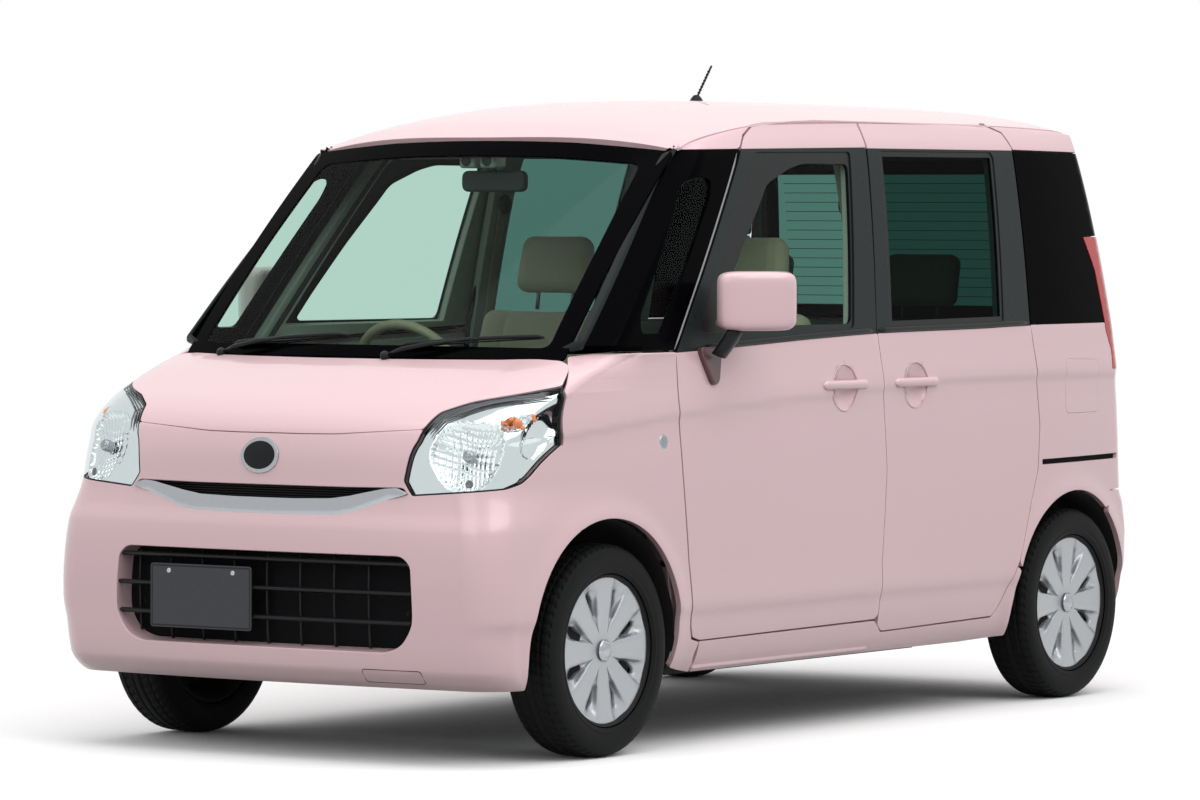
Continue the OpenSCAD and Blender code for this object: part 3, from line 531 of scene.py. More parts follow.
def find(chart, pts, box, keys=(0, 1, 2), n=60):
    """Chart coordinates of the points of the surface nearest to pts."""
    k, pts = list(keys), np.atleast_2d(np.array(pts, float))
    U, V = np.meshgrid(np.linspace(box[0], box[1], n * 2), np.linspace(box[2], box[3], n))
    G = chart(U.ravel(), V.ravel())[:, k]
    i = np.array([np.argmin(((G - p[k]) ** 2).sum(1)) for p in pts])
    u, v, h = U.ravel()[i], V.ravel()[i], 0.5
    for _ in range(8):
        P = chart(u, v)[:, k]
        J = np.stack([(chart(u + h, v)[:, k] - P) / h, (chart(u, v + h)[:, k] - P) / h], 2)
        d = np.array([np.linalg.lstsq(j, r, rcond=None)[0] for j, r in zip(J, pts[:, k] - P)])
        d = np.clip(d, -60, 60)
        u, v = np.clip(u + d[:, 0], box[0], box[1]), np.clip(v + d[:, 1], box[2], box[3])
    return np.stack([u, v], 1)


def on_nose(pts, keys=(0, 1, 2)):
    """Chart coordinates of points on the front end."""
    return find(nose, pts, (0, 1750, 0, V_TAB[-1]), keys, 70)


def both_sides(half):
    """Closed outline across the centre line from its left half."""
    half = np.array(half, float)
    return np.concatenate([half, (half * [-1, 1])[::-1]])


def arc(cx, cz, r, a0, a1, n=24):
    """Points of an arc in x and z, between two angles in degrees."""
    t = np.radians(np.linspace(a0, a1, n))
    return np.stack([cx + r * np.cos(t), cz + r * np.sin(t)], 1)


def cut(poly, a, b, above=True):
    """The part of the outline above, or below, the line through a and b."""
    p, out = np.array(poly, float), []
    f = lambda q: (q[1] - a[1] - (q[0] - a[0]) * (b[1] - a[1]) / (b[0] - a[0])) * (1 if above else -1)
    for s, e in zip(p, np.roll(p, -1, 0)):
        fs, fe = f(s), f(e)
        if fs >= 0:
            out.append(s)
        if fs * fe < 0:
            out.append(s + (e - s) * fs / (fs - fe))
    return np.array(out)


# ---- Bumper: one moulding from the hood to the sill, with the wide lower opening, the
# slot over the bright bar and the round-edged ledges the light breaks on.
LAMP = np.array([(1310, 697, 969), (1327, 702, 958), (1328, 713, 932), (1344, 714, 819), (1420, 708, 777),
                 (1470, 703, 741), (1502, 700, 723), (1560, 688, 710), (1649, 456, 690), (1646, 427, 729),
                 (1634, 438, 794), (1606, 460, 858), (1556, 481, 902), (1493, 561, 933), (1421, 642, 952)],
                 float)
lamp = on_nose(LAMP)
lip = on_nose([(1640, 210, 842), (1647, 100, 841), (1647, 2, 841)])
lip[-1, 0] = 0
low = on_nose([(0, y, 197) for y in (0, 200, 400, 560)], (1, 2))
arch_f = arc(*ARCH_F, 68, -14)
arch_f = on_nose(np.stack([arch_f[:, 0], arch_f[:, 0] * 0 + 720, arch_f[:, 1]], 1), (0, 2))
seam = on_nose([(1342, 714, 813), (1365, 720, 674), (1357, 724, 641), (1332, 729, 602)])
front_half = np.concatenate([low, arch_f[::-1], seam[::-1], lamp[3:12], lip])
GRILLE = [(446, 541), (475, 517), (478, 350), (447, 307), (400, 288)]
grille = on_nose([(0, y, z) for y, z in GRILLE], (1, 2))
SLOT_TOP = [(430, 714), (250, 712), (2, 712)]
SLOT_LOW = [(449, 694), (388, 679), (278, 644), (227, 637), (2, 634)]
slot = np.concatenate([on_nose([(0, y, z) for y, z in SLOT_TOP[::-1]], (1, 2)),
                       on_nose([(0, y, z) for y, z in SLOT_LOW], (1, 2))])
grille_o, slot_o = rounded(both_sides(grille), 26, 7), rounded(both_sides(slot), 14)
bumper_o = rounded(both_sides(front_half), 6, 3)
panel("bumper_front", nose, bumper_o, "paint", "body", ["front_bumper"], holes=[grille_o, slot_o], step=14,
      hole=(3.0, 54.0))

# ---- Hood: pressed lid over the engine, its edges following the lamps and the screen.
line = [(1253, 666, 1005), (1226, 646, 1019)]
back = [(1312 - 97 * (y / 634) ** 2, y, 1030) for y in (620, 560, 460, 300, 150, 0)]
hood_half = np.concatenate([lip[::-1] + [0, 4.5], on_nose([(1606, 460, 862), (1556, 478, 906),
                                                           (1493, 556, 938),
                            (1421, 637, 957), (1316, 692, 974)]), on_nose(line), on_nose(back, (0, 1))])
hood_half[0, 0] = hood_half[-1, 0] = 0
panel("hood_skin", nose, rounded(both_sides(hood_half), 8, 3), "paint", "hood", ["hood"], step=15)

# ---- Wings: from the lamps back to the doors, wrapped round the front arches.
FD = [(827, 1044), (360, 1594), (323, 1626), (264, 1653), (201, 1660), (-280, 1671), (-277, 1602),
      (-188, 1096), (-202, 899), (-212, 704), (-191, 454), (-201, 300), (-185, 288), (700, 280), (738, 290),
      (752, 318), (787, 499), (814, 712), (832, 923)]
arch_w = arc(*ARCH_F, 68, 194, 40)
wing = [(x, 0, z) for x, z in [(1344, 806), (1367, 674), (1359, 641), (1335, 602)]]
wing += [(x, 0, z) for x, z in arch_w if z > 198]
wing += [(703, 0, 196)] + [tuple(p) for p in dense([(703, 0, 275), (742, 0, 284), (757, 0, 314),
                                                    (792, 0, 499), (819, 0, 712),
                                                   (837, 0, 923), (832, 0, 1044), (834, 0, 1048)], 20)]
wing_o = np.concatenate([on_nose(wing, (0, 2)), on_nose(dense([(850, 0, 1049), (1130, 0, 1049)], 40), (0, 2)),
                         on_nose(dense([(1188, 622, 1036), (1226, 648, 1016), (1253, 669, 1002),
                                        (1309, 701, 966)], 25)),
                         lamp[1:3] + [6, 0], lamp[3:4] + [4, 6]])
panel("wings", nose, rounded(wing_o, 5, 3), "paint", "body", ["fenders"], both=True, step=13)

# ---- Doors: painted skins below the belt and above the windows, dark film on the frames
# between, glass set back in rubber, and a round cup behind each handle.
# Upper edge of the dark window band, and the belt line, along the car.
BAND = curve((-1560, 1597), (-1490, 1600), (-1084, 1603), (-400, 1601), (117, 1596), (363, 1590), (658, 1584),
             (790, 1580))
BELT = curve((-1560, 1100), (-1031, 1098), (-747, 1093), (-200, 1087), (100, 1078), (500, 1062), (832, 1050),
             (1190, 1043))


def roof_edge(x):
    """Height at which the side turns into the roof."""
    return ZC(x) - ROOF_DROP


def flank(x, z):
    """Side of the car with the round edge up to the roof."""
    d = np.clip((roof_edge(x) - z) / 75, 0, 1)
    return stack(x, 588 + (cabin(x, z) - 588) * np.sqrt(np.maximum(1 - (1 - d) ** 2, 0)), z)


def dished(cx, cz, r, deep):
    """The flank with a shallow round cup pressed in at cx, cz."""
    def chart(x, z):
        p = flank(x, z)
        d = np.hypot(x - cx, z - cz) / r
        p[..., 1] -= deep * np.clip(1 - d * d, 0, 1) ** 0.8
        return p
    return chart


def sweep(name, path, width, height, up, mat, body, n=8, ends=True):
    """Half-round strip along the path; up gives the outward direction at each point."""
    p, u = np.array(path, float), unit(np.array(up, float) + np.zeros((len(path), 3)))
    t = unit(np.gradient(p, axis=0))
    s = unit(np.cross(t, u))
    a = np.linspace(0, np.pi, n + 1)
    k = np.ones(len(p))
    if ends:
        k[0] = k[-1] = 0.35
    P = [p + (s * np.cos(q) * width / 2 + u * np.sin(q) * height) * k[:, None] for q in a]
    P = np.stack(P, 1).reshape(-1, 3)
    m = n + 1
    F = [[i * m + j, i * m + j + 1, (i + 1) * m + j + 1,
          (i + 1) * m + j] for i in range(len(p) - 1) for j in range(n)]
    F += [[i * m + n, i * m, (i + 1) * m, (i + 1) * m + n] for i in range(len(p) - 1)]
    F += caps(len(p), m)
    return finish_mesh(name, P, F, mat, body)


def band_line(x0, x1, up=0, n=24, f=BAND):
    """Points along one of the edge curves, raised by up."""
    x = np.linspace(x0, x1, n)
    return [(a, f(a) + up) for a in x]


def lerp(a, b, z):
    """x at height z on the line through a and b."""
    return a[0] + (b[0] - a[0]) * (z - a[1]) / (b[1] - a[1])


RD = [(-287, 1671), (-973, 1676), (-1055, 1654), (-1080, 1607), (-1033, 1095), (-1062, 806), (-1049, 676),
      (-945, 420), (-862, 290), (-835, 262), (-233, 252), (-205, 270), (-201, 300), (-191, 454),
      (-212, 704), (-202, 899), (-188, 1096), (-283, 1602)]
fd, rd = inset(FD, 2.4), inset(RD, 2.4)
FW_CLEAR = [(-170, 1556), (60, 1556), (138, 1541), (263, 1498), (312, 1446), (430, 1330), (560, 1190),
            (618, 1122), (600, 1112), (-66, 1112)]
FW_OUT = [(-190, 1590), (298, 1584), (330, 1560), (700, 1112), (690, 1096), (-74, 1100)]
RW_OUT = [(-344, 1594), (-955, 1597), (-966, 1580), (-888, 1108), (-262, 1102)]


def lower_door(o):
    """The painted skin below the belt, from the door outline."""
    q = np.array([p for p in resample(o, 40) if p[1] < BELT(p[0]) - 6])
    i = np.argmax(np.linalg.norm(np.roll(q, -1, 0) - q, axis=1))
    q = np.roll(q, -i - 1, 0)
    top = np.array(band_line(q[-1][0], q[0][0], -4, 20, BELT))
    return np.concatenate([q, top])


SIDES = ((1, "left"), (-1, "right"))
for s, side_name in SIDES:
    mir = s < 0
    body = "front_door_" + side_name
    lo = rounded(lower_door(fd), 5, 3)
    panel(body + "_skin", dished(4, 938, 64, 19), lo, "paint", body, [body], step=15, mirror=mir)
    top = cut(fd, (0, 1598), (363, 1591.5))
    panel(body + "_top", flank, rounded(top, 4, 3), "paint", body, step=12, mirror=mir)
    mid = cut(cut(fd, (0, 1596), (363, 1589.5), False), (-190, 1084), (832, 1047))
    fwo = rounded(FW_OUT, 16)
    panel(body + "_frame", flank, rounded(mid, 4, 3), "frame", body, holes=[fwo], step=16, off=-1.0,
          mirror=mir)
    panel(body + "_sash", flank, inset(fwo, 0.6), "black", body, holes=[rounded(FW_CLEAR, 24, 7)], step=16,
          off=-5, lip=8, mirror=mir)
    panel("door_glass_" + side_name + "_pane", flank, inset(rounded(FW_CLEAR, 24, 7), -6), "side", body,
          ["door_glass_" + side_name], step=30, off=-10, lip=0, mirror=mir)
    body = "body"
    name = "rear_door_" + side_name
    lo = rounded(lower_door(rd), 5, 3)
    panel(name + "_skin", dished(-372, 938, 64, 19), lo, "paint", body, [name], step=15, mirror=mir)
    panel(name + "_top", flank, rounded(cut(rd, (-400, 1601), (-1084, 1603.5)), 4, 3), "paint", body, step=12,
          mirror=mir)
    mid = cut(cut(rd, (-400, 1600), (-1084, 1602.5), False), (-188, 1084), (-1033, 1096))
    rwo = rounded(RW_OUT, 14)
    panel(name + "_frame", flank, rounded(mid, 4, 3), "frame", body, holes=[rwo], step=16, off=-1.0,
          mirror=mir)
    rwi = inset(rwo, 15)
    panel(name + "_sash", flank, inset(rwo, 0.6), "black", body, holes=[rwi], step=16, off=-4, lip=8,
          mirror=mir)
    panel(name + "_pane", flank, inset(rwi, -4), "privacy", body, ["rear_door_glass"] if s > 0 else [],
          step=30, off=-8, lip=0, mirror=mir)
    # belt mouldings, handles and their cups
    for b, x0, x1 in (("front_door_" + side_name, -180, 700), ("body", -1025, -196)):
        x = np.linspace(x0, x1, 26)
        z = BELT(x) + 6
        y = cabin(x, z)
        sweep(("front" if x1 > 0 else "rear") + "_belt_strip_" + side_name, stack(x, s * y, z), 16, 5,
              (0, s, 0.15), "black", b)
    for b, cx in (("front_door_" + side_name, 4), ("body", -372)):
        x = np.linspace(-118, 116, 19)
        y = 739 + 7 * np.sqrt(np.clip(1 - (x / 130) ** 2, 0, 1)) - 3
        k = "front" if cx > 0 else "rear"
        sweep(k + "_handle_" + side_name, stack(cx + x, s * (y - 6), 946 + 0 * x), 26, 10, (0, s, 0), "paint",
              b, 12)
        t = np.linspace(0, 2 * np.pi, 49)[:-1]
        ring = stack(cx + 64 * np.cos(t), 0, 938 + 64 * np.sin(t))
        ring[:, 1] = s * (flank(ring[:, 0], ring[:, 2])[:, 1] + 0.3)
        ring = np.concatenate([ring, ring[:1]])
        sweep(k + "_cup_rim_" + side_name, ring, 3.5, 1.2, (0, s, 0), "paint", b, 4, False)
        disc = stack(cx + 44 * np.cos(t), 0, 940 + 34 * np.sin(t))[:, [0, 2]]
        panel(k + "_cup_" + side_name, dished(cx, 938, 64, 19), disc, "paint", b, step=10, off=0.8, lip=0,
              mirror=mir)

# ---- Roof: one crowned pressing with pressed ribs, ditch seams at the front corners.
x = np.linspace(-1545, 628, 60)
edge = np.stack([x, 586 - 0.0000023 * 586 * np.clip(-1390 - x, 0, None) ** 2], 1)
y = np.linspace(560, -560, 25)
front = np.stack([688 - 62 * (y / 606) ** 2, y], 1)
roof_o = np.concatenate([edge, front, (edge * [1, -1])[::-1]])


def ribbed(x, y):
    """The roof with its pressed ribs."""
    p = roof(x, y)
    e = np.clip((x + 1350) / 120, 0, 1) * np.clip((420 - x) / 120, 0, 1)
    for c in (-420, -250, -84, 84, 250, 420):
        p[..., 2] -= 2.6 * e * np.exp(-((y - c) / 14) ** 2)
    return p


panel("roof_skin", ribbed, rounded(roof_o, 10, 4), "paint", "body", ["roof_panel"], step=18, lip=26)

# ---- Sides of the shell: sill, rear quarter with the slide rail slot, roof rail band and the
# dark quarter glass that runs round to the tailgate.


def y_corner(z):
    """Half width of the flat part of the back at height z."""
    rx = -RX(z)
    return side_y(rx + 150, z) - 120


def rear(w, z):
    """Chart of the back of the car: signed distance round it from the centre line, and z."""
    p = tail(TAIL_BEND + y_corner(z) - np.abs(w), z)
    lim = flank(p[..., 0], z)[..., 1]
    p[..., 1] = np.minimum(p[..., 1], lim) * np.where(w < 0, -1, 1)
    return p


def on_rear(pts, keys=(0, 2)):
    """Chart coordinates of points on the back of the car."""
    return find(rear, pts, (0, 2400, 190, 1690), keys, 80)


def seam_w(z, c):
    """The line at distance c from the start of the rear corner."""
    z = np.array(z, float)
    return np.stack([TAIL_BEND + y_corner(z) - c, z], 1)


FUEL = [(-1222, 985), (-1235, 994), (-1412, 990), (-1425, 980), (-1427, 848), (-1415, 838), (-1230, 838),
        (-1219, 848)]
arch_q = [tuple(p) for p in arc(*ARCH_R, 22, 124, 34)]
q_front = dense([(-1037, 1096), (-1066, 806), (-1053, 676), (-955, 440), (-946, 418)], 30)
quarter = [*map(tuple, q_front), *arch_q, (-1490, 560), (-1500, 604)]
q_low = on_rear([(x, 0, z) for x, z in quarter])
hatch = seam_w(np.linspace(612, 955, 12), 136)
TAIL = [(-1524, 1016), (-1499, 1076), (-1473, 1254), (-1424, 1352)]
tail_side = on_rear([(x, 0, z) for x, z in [(-1521, 962), (-1526, 1016), (-1501, 1076), (-1499, 1097)]])
q_o = np.concatenate([q_low, hatch, tail_side])
q_fuel = on_rear([(x, 0, z) for x, z in rounded(FUEL, 10)])
slot_r = on_rear([(x, 0, z) for x, z in [(-1074, 690), (-1550, 694), (-1550, 712), (-1074, 708)]])
panel("rear_quarters", rear, rounded(q_o, 5, 3), "paint", "body", ["side_frame_left", "side_frame_right"],
      both=True, holes=[rounded(slot_r, 6), inset(q_fuel, -2.7)], step=15)
# The dark sheet inside the slide rail slot is partly painted shade of the groove.
panel("slide_rail_slots", rear, rounded(slot_r, 4), "hollow", "body", both=True, off=-11, lip=0, step=20)
panel("fuel_lid_skin", rear, inset(q_fuel, 0), "paint", "fuel_lid", ["fuel_lid"], step=15, off=0.5, lip=2.6)
arch_g = on_rear(dense([(-1038, 0, 1102), (-1084, 0, 1597)], 30))
zz = np.linspace(1597, 1358, 10)
g_o = np.concatenate([arch_g, seam_w(zz, 136),
                      on_rear([(-1420, 0, 1354), (-1469, 0, 1254), (-1495, 0, 1076)]),
                      on_rear([(-1490, 0, 1102)])])
panel("quarter_glass", rear, rounded(g_o, 6, 3), "frit", "body", ["fixed_side_glass"], both=True, step=16,
      off=-0.5)
top_q = np.concatenate([on_rear([(x, 0, z) for x, z in [(-1086, 1606), (-1062, 1656), (-977, 1681)]]),
                        on_rear([(x, 0, roof_edge(x) - 3) for x in np.linspace(-990, -1520, 12)]),
                        seam_w([1655, 1630, 1602], 136)])
panel("roof_corners", rear, rounded(top_q, 3, 3), "paint", "body", both=True, step=12)
band = band_line(640, 380, 2, 8) + [(364, 1598), (327, 1630), (266, 1658), (202, 1665)] + \
    [(x, 1675.5 if x < 0 else 1671 - x * 0.03) for x in np.linspace(150, -960, 12)] + \
    [(x, roof_edge(x) - 2.5) for x in np.linspace(-975, 600, 40)] + [(640, 1590)]
panel("roof_rails", flank, rounded(band, 2, 3), "paint", "body", both=True, step=10, lip=10)
sill = [(697, 196)] + [(697, 276)] + [(-185, 283), (-212, 264), (-232, 248), (-835, 257), (-865, 286),
                                      (-935, 400)] + \
    [tuple(p) for p in arc(*ARCH_R, 20, -12, 12)] + [(-700, 196)]
panel("sills", flank, rounded(sill, 5, 3), "paint", "body", both=True, step=14, lip=30)
qt = [(xa(z) - 4, z) for z in np.linspace(1056, 1575, 20)] + band_line(640, 372, -1, 8) + \
    [(lerp((827, 1044), (360, 1594), z) + 5, z) for z in np.linspace(1580, 1056, 16)]
QW = [(975, 1146), (675, 1490), (640, 1508), (591, 1514), (552, 1508), (545, 1494), (565, 1455), (880, 1098),
      (980, 1098)]
panel("quarter_lights", flank, rounded(qt, 4, 3), "frit", "body", both=True, step=14,
      holes=[rounded(QW, 20, 6)])
panel("quarter_light_panes", flank, inset(rounded(QW, 20, 6), -6), "side", "body", both=True, step=30, off=-6,
      lip=0)
for s in (1, -1):
    z = np.linspace(1048, 1585, 24)
    p = flank(xa(z) - 3, z)
    sweep("screen_moulding_%d" % (s > 0), p * [1, s, 1], 30, 9, (0.55, s, 0.25), "frame", "body")
    z = np.linspace(1056, 1578, 20)
    p = flank(lerp((827, 1044), (360, 1594), z) + 18, z)
    sweep("quarter_light_trim_%d" % (s > 0), p * [1, s, 1], 7, 3.5, (0, s, 0), "steel", "body")

# ---- Rear: tailgate with its glass, lamps on the corners, bumper below.
zz = np.linspace(612, 1652, 40)
gate_o = both_sides(np.concatenate([[[0, 608]], [[400, 608]], seam_w(zz, 141), [[440, 1664], [0, 1668]]]))
GW = [(0, 1582), (510, 1582), (532, 1560), (560, 1120), (540, 1098), (0, 1098)]
gw_o = rounded(both_sides(GW), 20, 6)
plate_r = rounded([(-290, 880), (290, 880), (280, 705), (-280, 705)], 20)
panel("tailgate_skin", rear, rounded(gate_o, 8, 3), "paint", "tailgate", ["tailgate"], holes=[gw_o, plate_r],
      step=16)
panel("tailgate_recess", rear, inset(plate_r, -1), "paint", "tailgate", off=-13, lip=0, step=18)
gi = inset(gw_o, 42)
panel("tailgate_frit", rear, inset(gw_o, 2), "frit", "tailgate", holes=[gi], off=-1.5, step=16, lip=5)
panel("tailgate_pane", rear, inset(gi, -3), "privacy", "tailgate", ["tailgate_glass"], off=-3, step=30, lip=0)
zz = np.linspace(1350, 962, 14)
lamp_o = np.concatenate([seam_w(zz, 134), on_rear([(-1520, 0, 962), (-1522, 0, 1016), (-1497, 0, 1076),
                                                   (-1471, 0, 1254), (-1424, 0, 1350)])])
panel("tail_lamp_lenses", rear, rounded(lamp_o, 6), "red", "body", ["tail_lamps"], both=True, step=12,
      off=1.5)
panel("tail_lamp_backs", rear, rounded(lamp_o, 6), "liner", "body", both=True, step=20, off=-14, lip=0)
zz = np.linspace(204, 598, 14)
bump = np.concatenate([[[0, 204]], [[500, 204]], on_rear([(x, 0, z) for x, z in [(-1560, 204)] +
                      [tuple(p) for p in arc(*ARCH_R, 192, 128, 16)] + [(-1486, 556), (-1497, 598)]]),
                      [[0, 602]]])
panel("bumper_rear", rear, rounded(both_sides(bump), 6, 3), "paint", "body", ["rear_bumper"], step=16)

# ---- Windscreen: laminated glass with a black ceramic border, scuttle and wipers below.
ws = rounded([(-619, -10), (619, -10), (606, 400), (592, 800), (300, 812), (-300, 812), (-592, 800),
              (-606, 400)], 14)
wi = rounded([(-566, 30), (566, 30), (550, 400), (528, 742), (250, 752), (-250, 752), (-528, 742),
              (-550, 400)], 30, 7)
panel("screen_border", screen, ws, "frit", "body", holes=[wi], step=18, lip=5)
panel("screen_pane", screen, inset(wi, -4), "screen", "body", ["windshield"], step=40, off=-1.5, lip=0)

# ---- Wheels: 14 inch rims under eight-spoke covers, 155/65 tyres with block tread.
def turned(profile, n=96, wave=None):
    """Profile of radius and axial points turned about Y."""
    p = np.array(profile, float)
    t = np.linspace(0, 2 * np.pi, n + 1)[:-1]
    R = np.repeat(p[:, :1], n, 1)
    if wave is not None:
        R = R + wave(p[:, 1][:, None], t[None], p[:, 0][:, None])
    P = np.stack([R * np.cos(t), np.repeat(p[:, 1:], n, 1), R * np.sin(t)], -1)
    return P.reshape(-1, 3), grid_faces(len(p), n)


half = [(278.5, 0), (278.5, 8), (278.5, 12), (278.4, 16), (278.2, 22), (278, 30), (277.6, 38), (277.4, 41),
        (277.2, 44), (276.8, 48), (275.5, 55), (273.5, 60), (270, 65.5), (266, 69), (262, 71.5),
        (258, 73.5), (250, 76), (240, 77.3),
        (228, 77.4), (219, 76), (216, 75.4), (214, 76.2), (211, 75.8), (205, 72), (201, 70)]
prof = [(r, -y) for r, y in half[::-1]] + half[1:]


def tread(y, t, r):
    """Depth of the grooves and blocks at axial y and angle t."""
    a = np.abs(y)
    g = -6.5 * ((np.abs(a - 12) < 3.2) | (np.abs(a - 41) < 3.0)) * (a < 60)
    ph = (t * 64 / (2 * np.pi) + np.sign(y) * (a * 0.012 + 0.25)) % 1
    side = -4.8 * (ph < 0.22) * (a > 15) * (a < 66) * (r > 266)
    mid = -2.0 * (((ph + 0.5) % 1) < 0.1) * (a > 15) * (a < 38)
    return np.minimum(g, np.minimum(side, mid))


wall = len([r for r, y in half if r < 266])
band = dense(prof[wall:-wall], 4.4)
tyre_P, tyre_F = turned(np.concatenate([dense(prof[:wall], 9), band, dense(prof[-wall:], 9)]), 320, tread)


def cover_mesh():
    """Eight flat spokes with dished pockets and drop-shaped slots between them."""
    r = np.concatenate([np.linspace(22, 50, 6), np.linspace(56, 88, 6), np.linspace(93, 166, 24),
                        np.linspace(170, 197, 8)])
    e = np.radians(np.interp(r, [22, 48, 70, 100, 150, 197], [22.4, 22.2, 19.5, 15.6, 13.0, 12.2]))
    inside_slot = (r > 92) & (r < 167)
    s = np.clip((r - 92.5) / 74, 0, 1)
    h = np.where(inside_slot, 0.015 + (15.5 * np.sin(np.pi * s ** 0.8) ** 0.55) / r, 0.015)
    h = np.minimum(h, (np.radians(22.5) - e) * 0.8)
    c = np.radians(22.5)
    cols = [0 * r, e * 0.5, e * 0.93, e, e + (c - e - h) * 0.15, e + (c - e - h) * 0.5,
            e + (c - e - h) * 0.93, c - h, c - h * 0.5]
    depth = [0, 0, 0, 0.12, 0.42, 0.80, 0.98, 1, 1]
    cols += [0 * r + c] + [2 * c - q for q in cols[:0:-1]]
    depth += [1] + depth[:0:-1]
    n, m = len(r), len(cols)
    dome = 61 - 13 * np.clip(1 - r / 197, 0, 1) ** 1.3 + 5 * np.exp(-(r / 34) ** 4)
    dome = np.where(r > 186, dome - (r - 186) ** 2 * 0.05, dome)
    deep = 17 * np.clip((r - 46) / 60, 0, 1) ** 0.9 * np.clip((194 - r) / 34, 0, 1) ** 0.9
    P = []
    for i in range(n):
        for q in range(8):
            for a, d in zip(cols, depth):
                t = a[i] + q * 2 * c + np.pi / 2
                P.append((r[i] * np.cos(t), dome[i] - deep[i] * d, r[i] * np.sin(t)))
    w = m * 8
    F = []
    for i in range(n - 1):
        hole = inside_slot[i] and inside_slot[i + 1]
        for j in range(w):
            if hole and j % m in (7, 8, 9, 10):
                continue
            F.append([i * w + j, (i + 1) * w + j, (i + 1) * w + (j + 1) % w, i * w + (j + 1) % w])
    P = np.array(P)
    # skirt round the slots and the rim
    edges = {}
    for f in F:
        for a, b in zip(f, f[1:] + f[:1]):
            edges[(a, b)] = 1
    loose = [(a, b) for a, b in edges if (b, a) not in edges and np.hypot(*P[a][[0, 2]]) > 30]
    ids = sorted({a for e2 in loose for a in e2})
    back = {a: len(P) + k for k, a in enumerate(ids)}
    P = np.concatenate([P, P[ids] - [0, 13, 0]])
    F += [[b, a, back[a], back[b]] for a, b in loose]
    return P, F


cov_P, cov_F = cover_mesh()
cap_P, cap_F = turned([(0.01, 66.5), (8, 66.5), (15, 65.8), (19, 64), (20.5, 62.6), (22, 63.6), (25, 63.6),
                       (27, 62), (29, 59)], 48)
rim_P, rim_F = turned([(198, 68), (198.5, 64), (190, 60), (186, 52), (178, 45), (170, 30), (168, -30),
                       (176, -52), (186, -60), (190, -66), (197, -66), (198, -62), (190, -60), (180, -46),
                       (165, -30), (163, 28),
                       (150, 30), (120, 24), (95, 38), (70, 40), (60, 30), (32, 30), (32, -6)], 72)
for k, (wx, wy, s) in {"fl": (AX_F, 647.5, 1), "fr": (AX_F, -647.5, -1), "rl": (AX_R, 645, 1),
                       "rr": (AX_R, -645, -1)}.items():
    body = "wheel_" + k
    for nm, P, F, mat, nodes in (("tyre", tyre_P, tyre_F, "tyre", ["tyre_" + k]),
                                 ("cover", cov_P, cov_F, "cover", []), ("cap", cap_P, cap_F, "chrome", []),
                                 ("rim", rim_P, rim_F, "under", ["wheel_" + k])):
        flipped = (nm == "cover") == (s > 0)
        Q = P * [1, s, 1] + [wx, wy, TYRE]
        finish_mesh("%s_%s" % (nm, k), Q, [f[::-1] for f in F] if flipped else F, mat, body, nodes)

# ---- Headlamps: clear corner lenses over a faceted bowl, an amber side bowl, a smooth outer
# pocket and dark cooling ribs along the top edge.
def sunk(chart, depth):
    """The chart moved inwards by a depth, which may vary over it."""
    def f(a, v):
        N = unit(np.cross(chart(a + 1, v) - chart(a - 1, v), chart(a, v + 1) - chart(a, v - 1)))
        d = depth(a, v) if callable(depth) else depth + 0.0 * a
        return chart(a, v) - N * np.asarray(d, float)[..., None]
    return f


def frame_at(chart, a, v, off=0.0):
    """Point on the surface and its outward normal."""
    P, Q = (sunk(chart, -k)(np.array([a]), np.array([v]))[0] for k in (off, off + 1))
    return P, Q - P


def knob(name, at, axis, profile, mat, body, n=32, nodes=()):
    """Profile of radius and height turned about the axis through a point."""
    P, F = turned(profile, n)
    y = unit(np.array(axis, float))
    x = unit(np.cross(y, [0, 0, 1] if abs(y[2]) < 0.9 else [1, 0, 0]))
    return finish_mesh(name, P[:, :1] * x + P[:, 1:2] * y + P[:, 2:] * np.cross(x, y) + at, F, mat, body,
                       nodes)


def bowl(a, v, ca, cv, ra, rv, deep):
    """Depth of a rounded hollow centred at ca, cv."""
    return deep * np.sqrt(np.clip(1 - ((a - ca) / ra) ** 2 - ((v - cv) / rv) ** 2, 0, 1))


def lamp_depth(a, v):
    """Depth of the reflector: main bowl, amber bowl and outer pocket."""
    main, amber = bowl(a, v, 593, 650, 97, 103, 44), bowl(a, v, 694, 744, 40, 34, 26)
    pocket = bowl(a, v, 786, 726, 66, 96, 20)
    cells = np.abs(np.sin(np.pi * a / 16)) * 3.4 + np.abs(np.sin(np.pi * (v + a * 0.25) / 21)) * 2.6
    rays = 2.2 * np.abs(np.sin(9 * np.arctan2(v - 744, a - 694)))
    return 11 + np.maximum(np.maximum(main + cells * (main > 6), amber + rays * (amber > 5)), pocket)


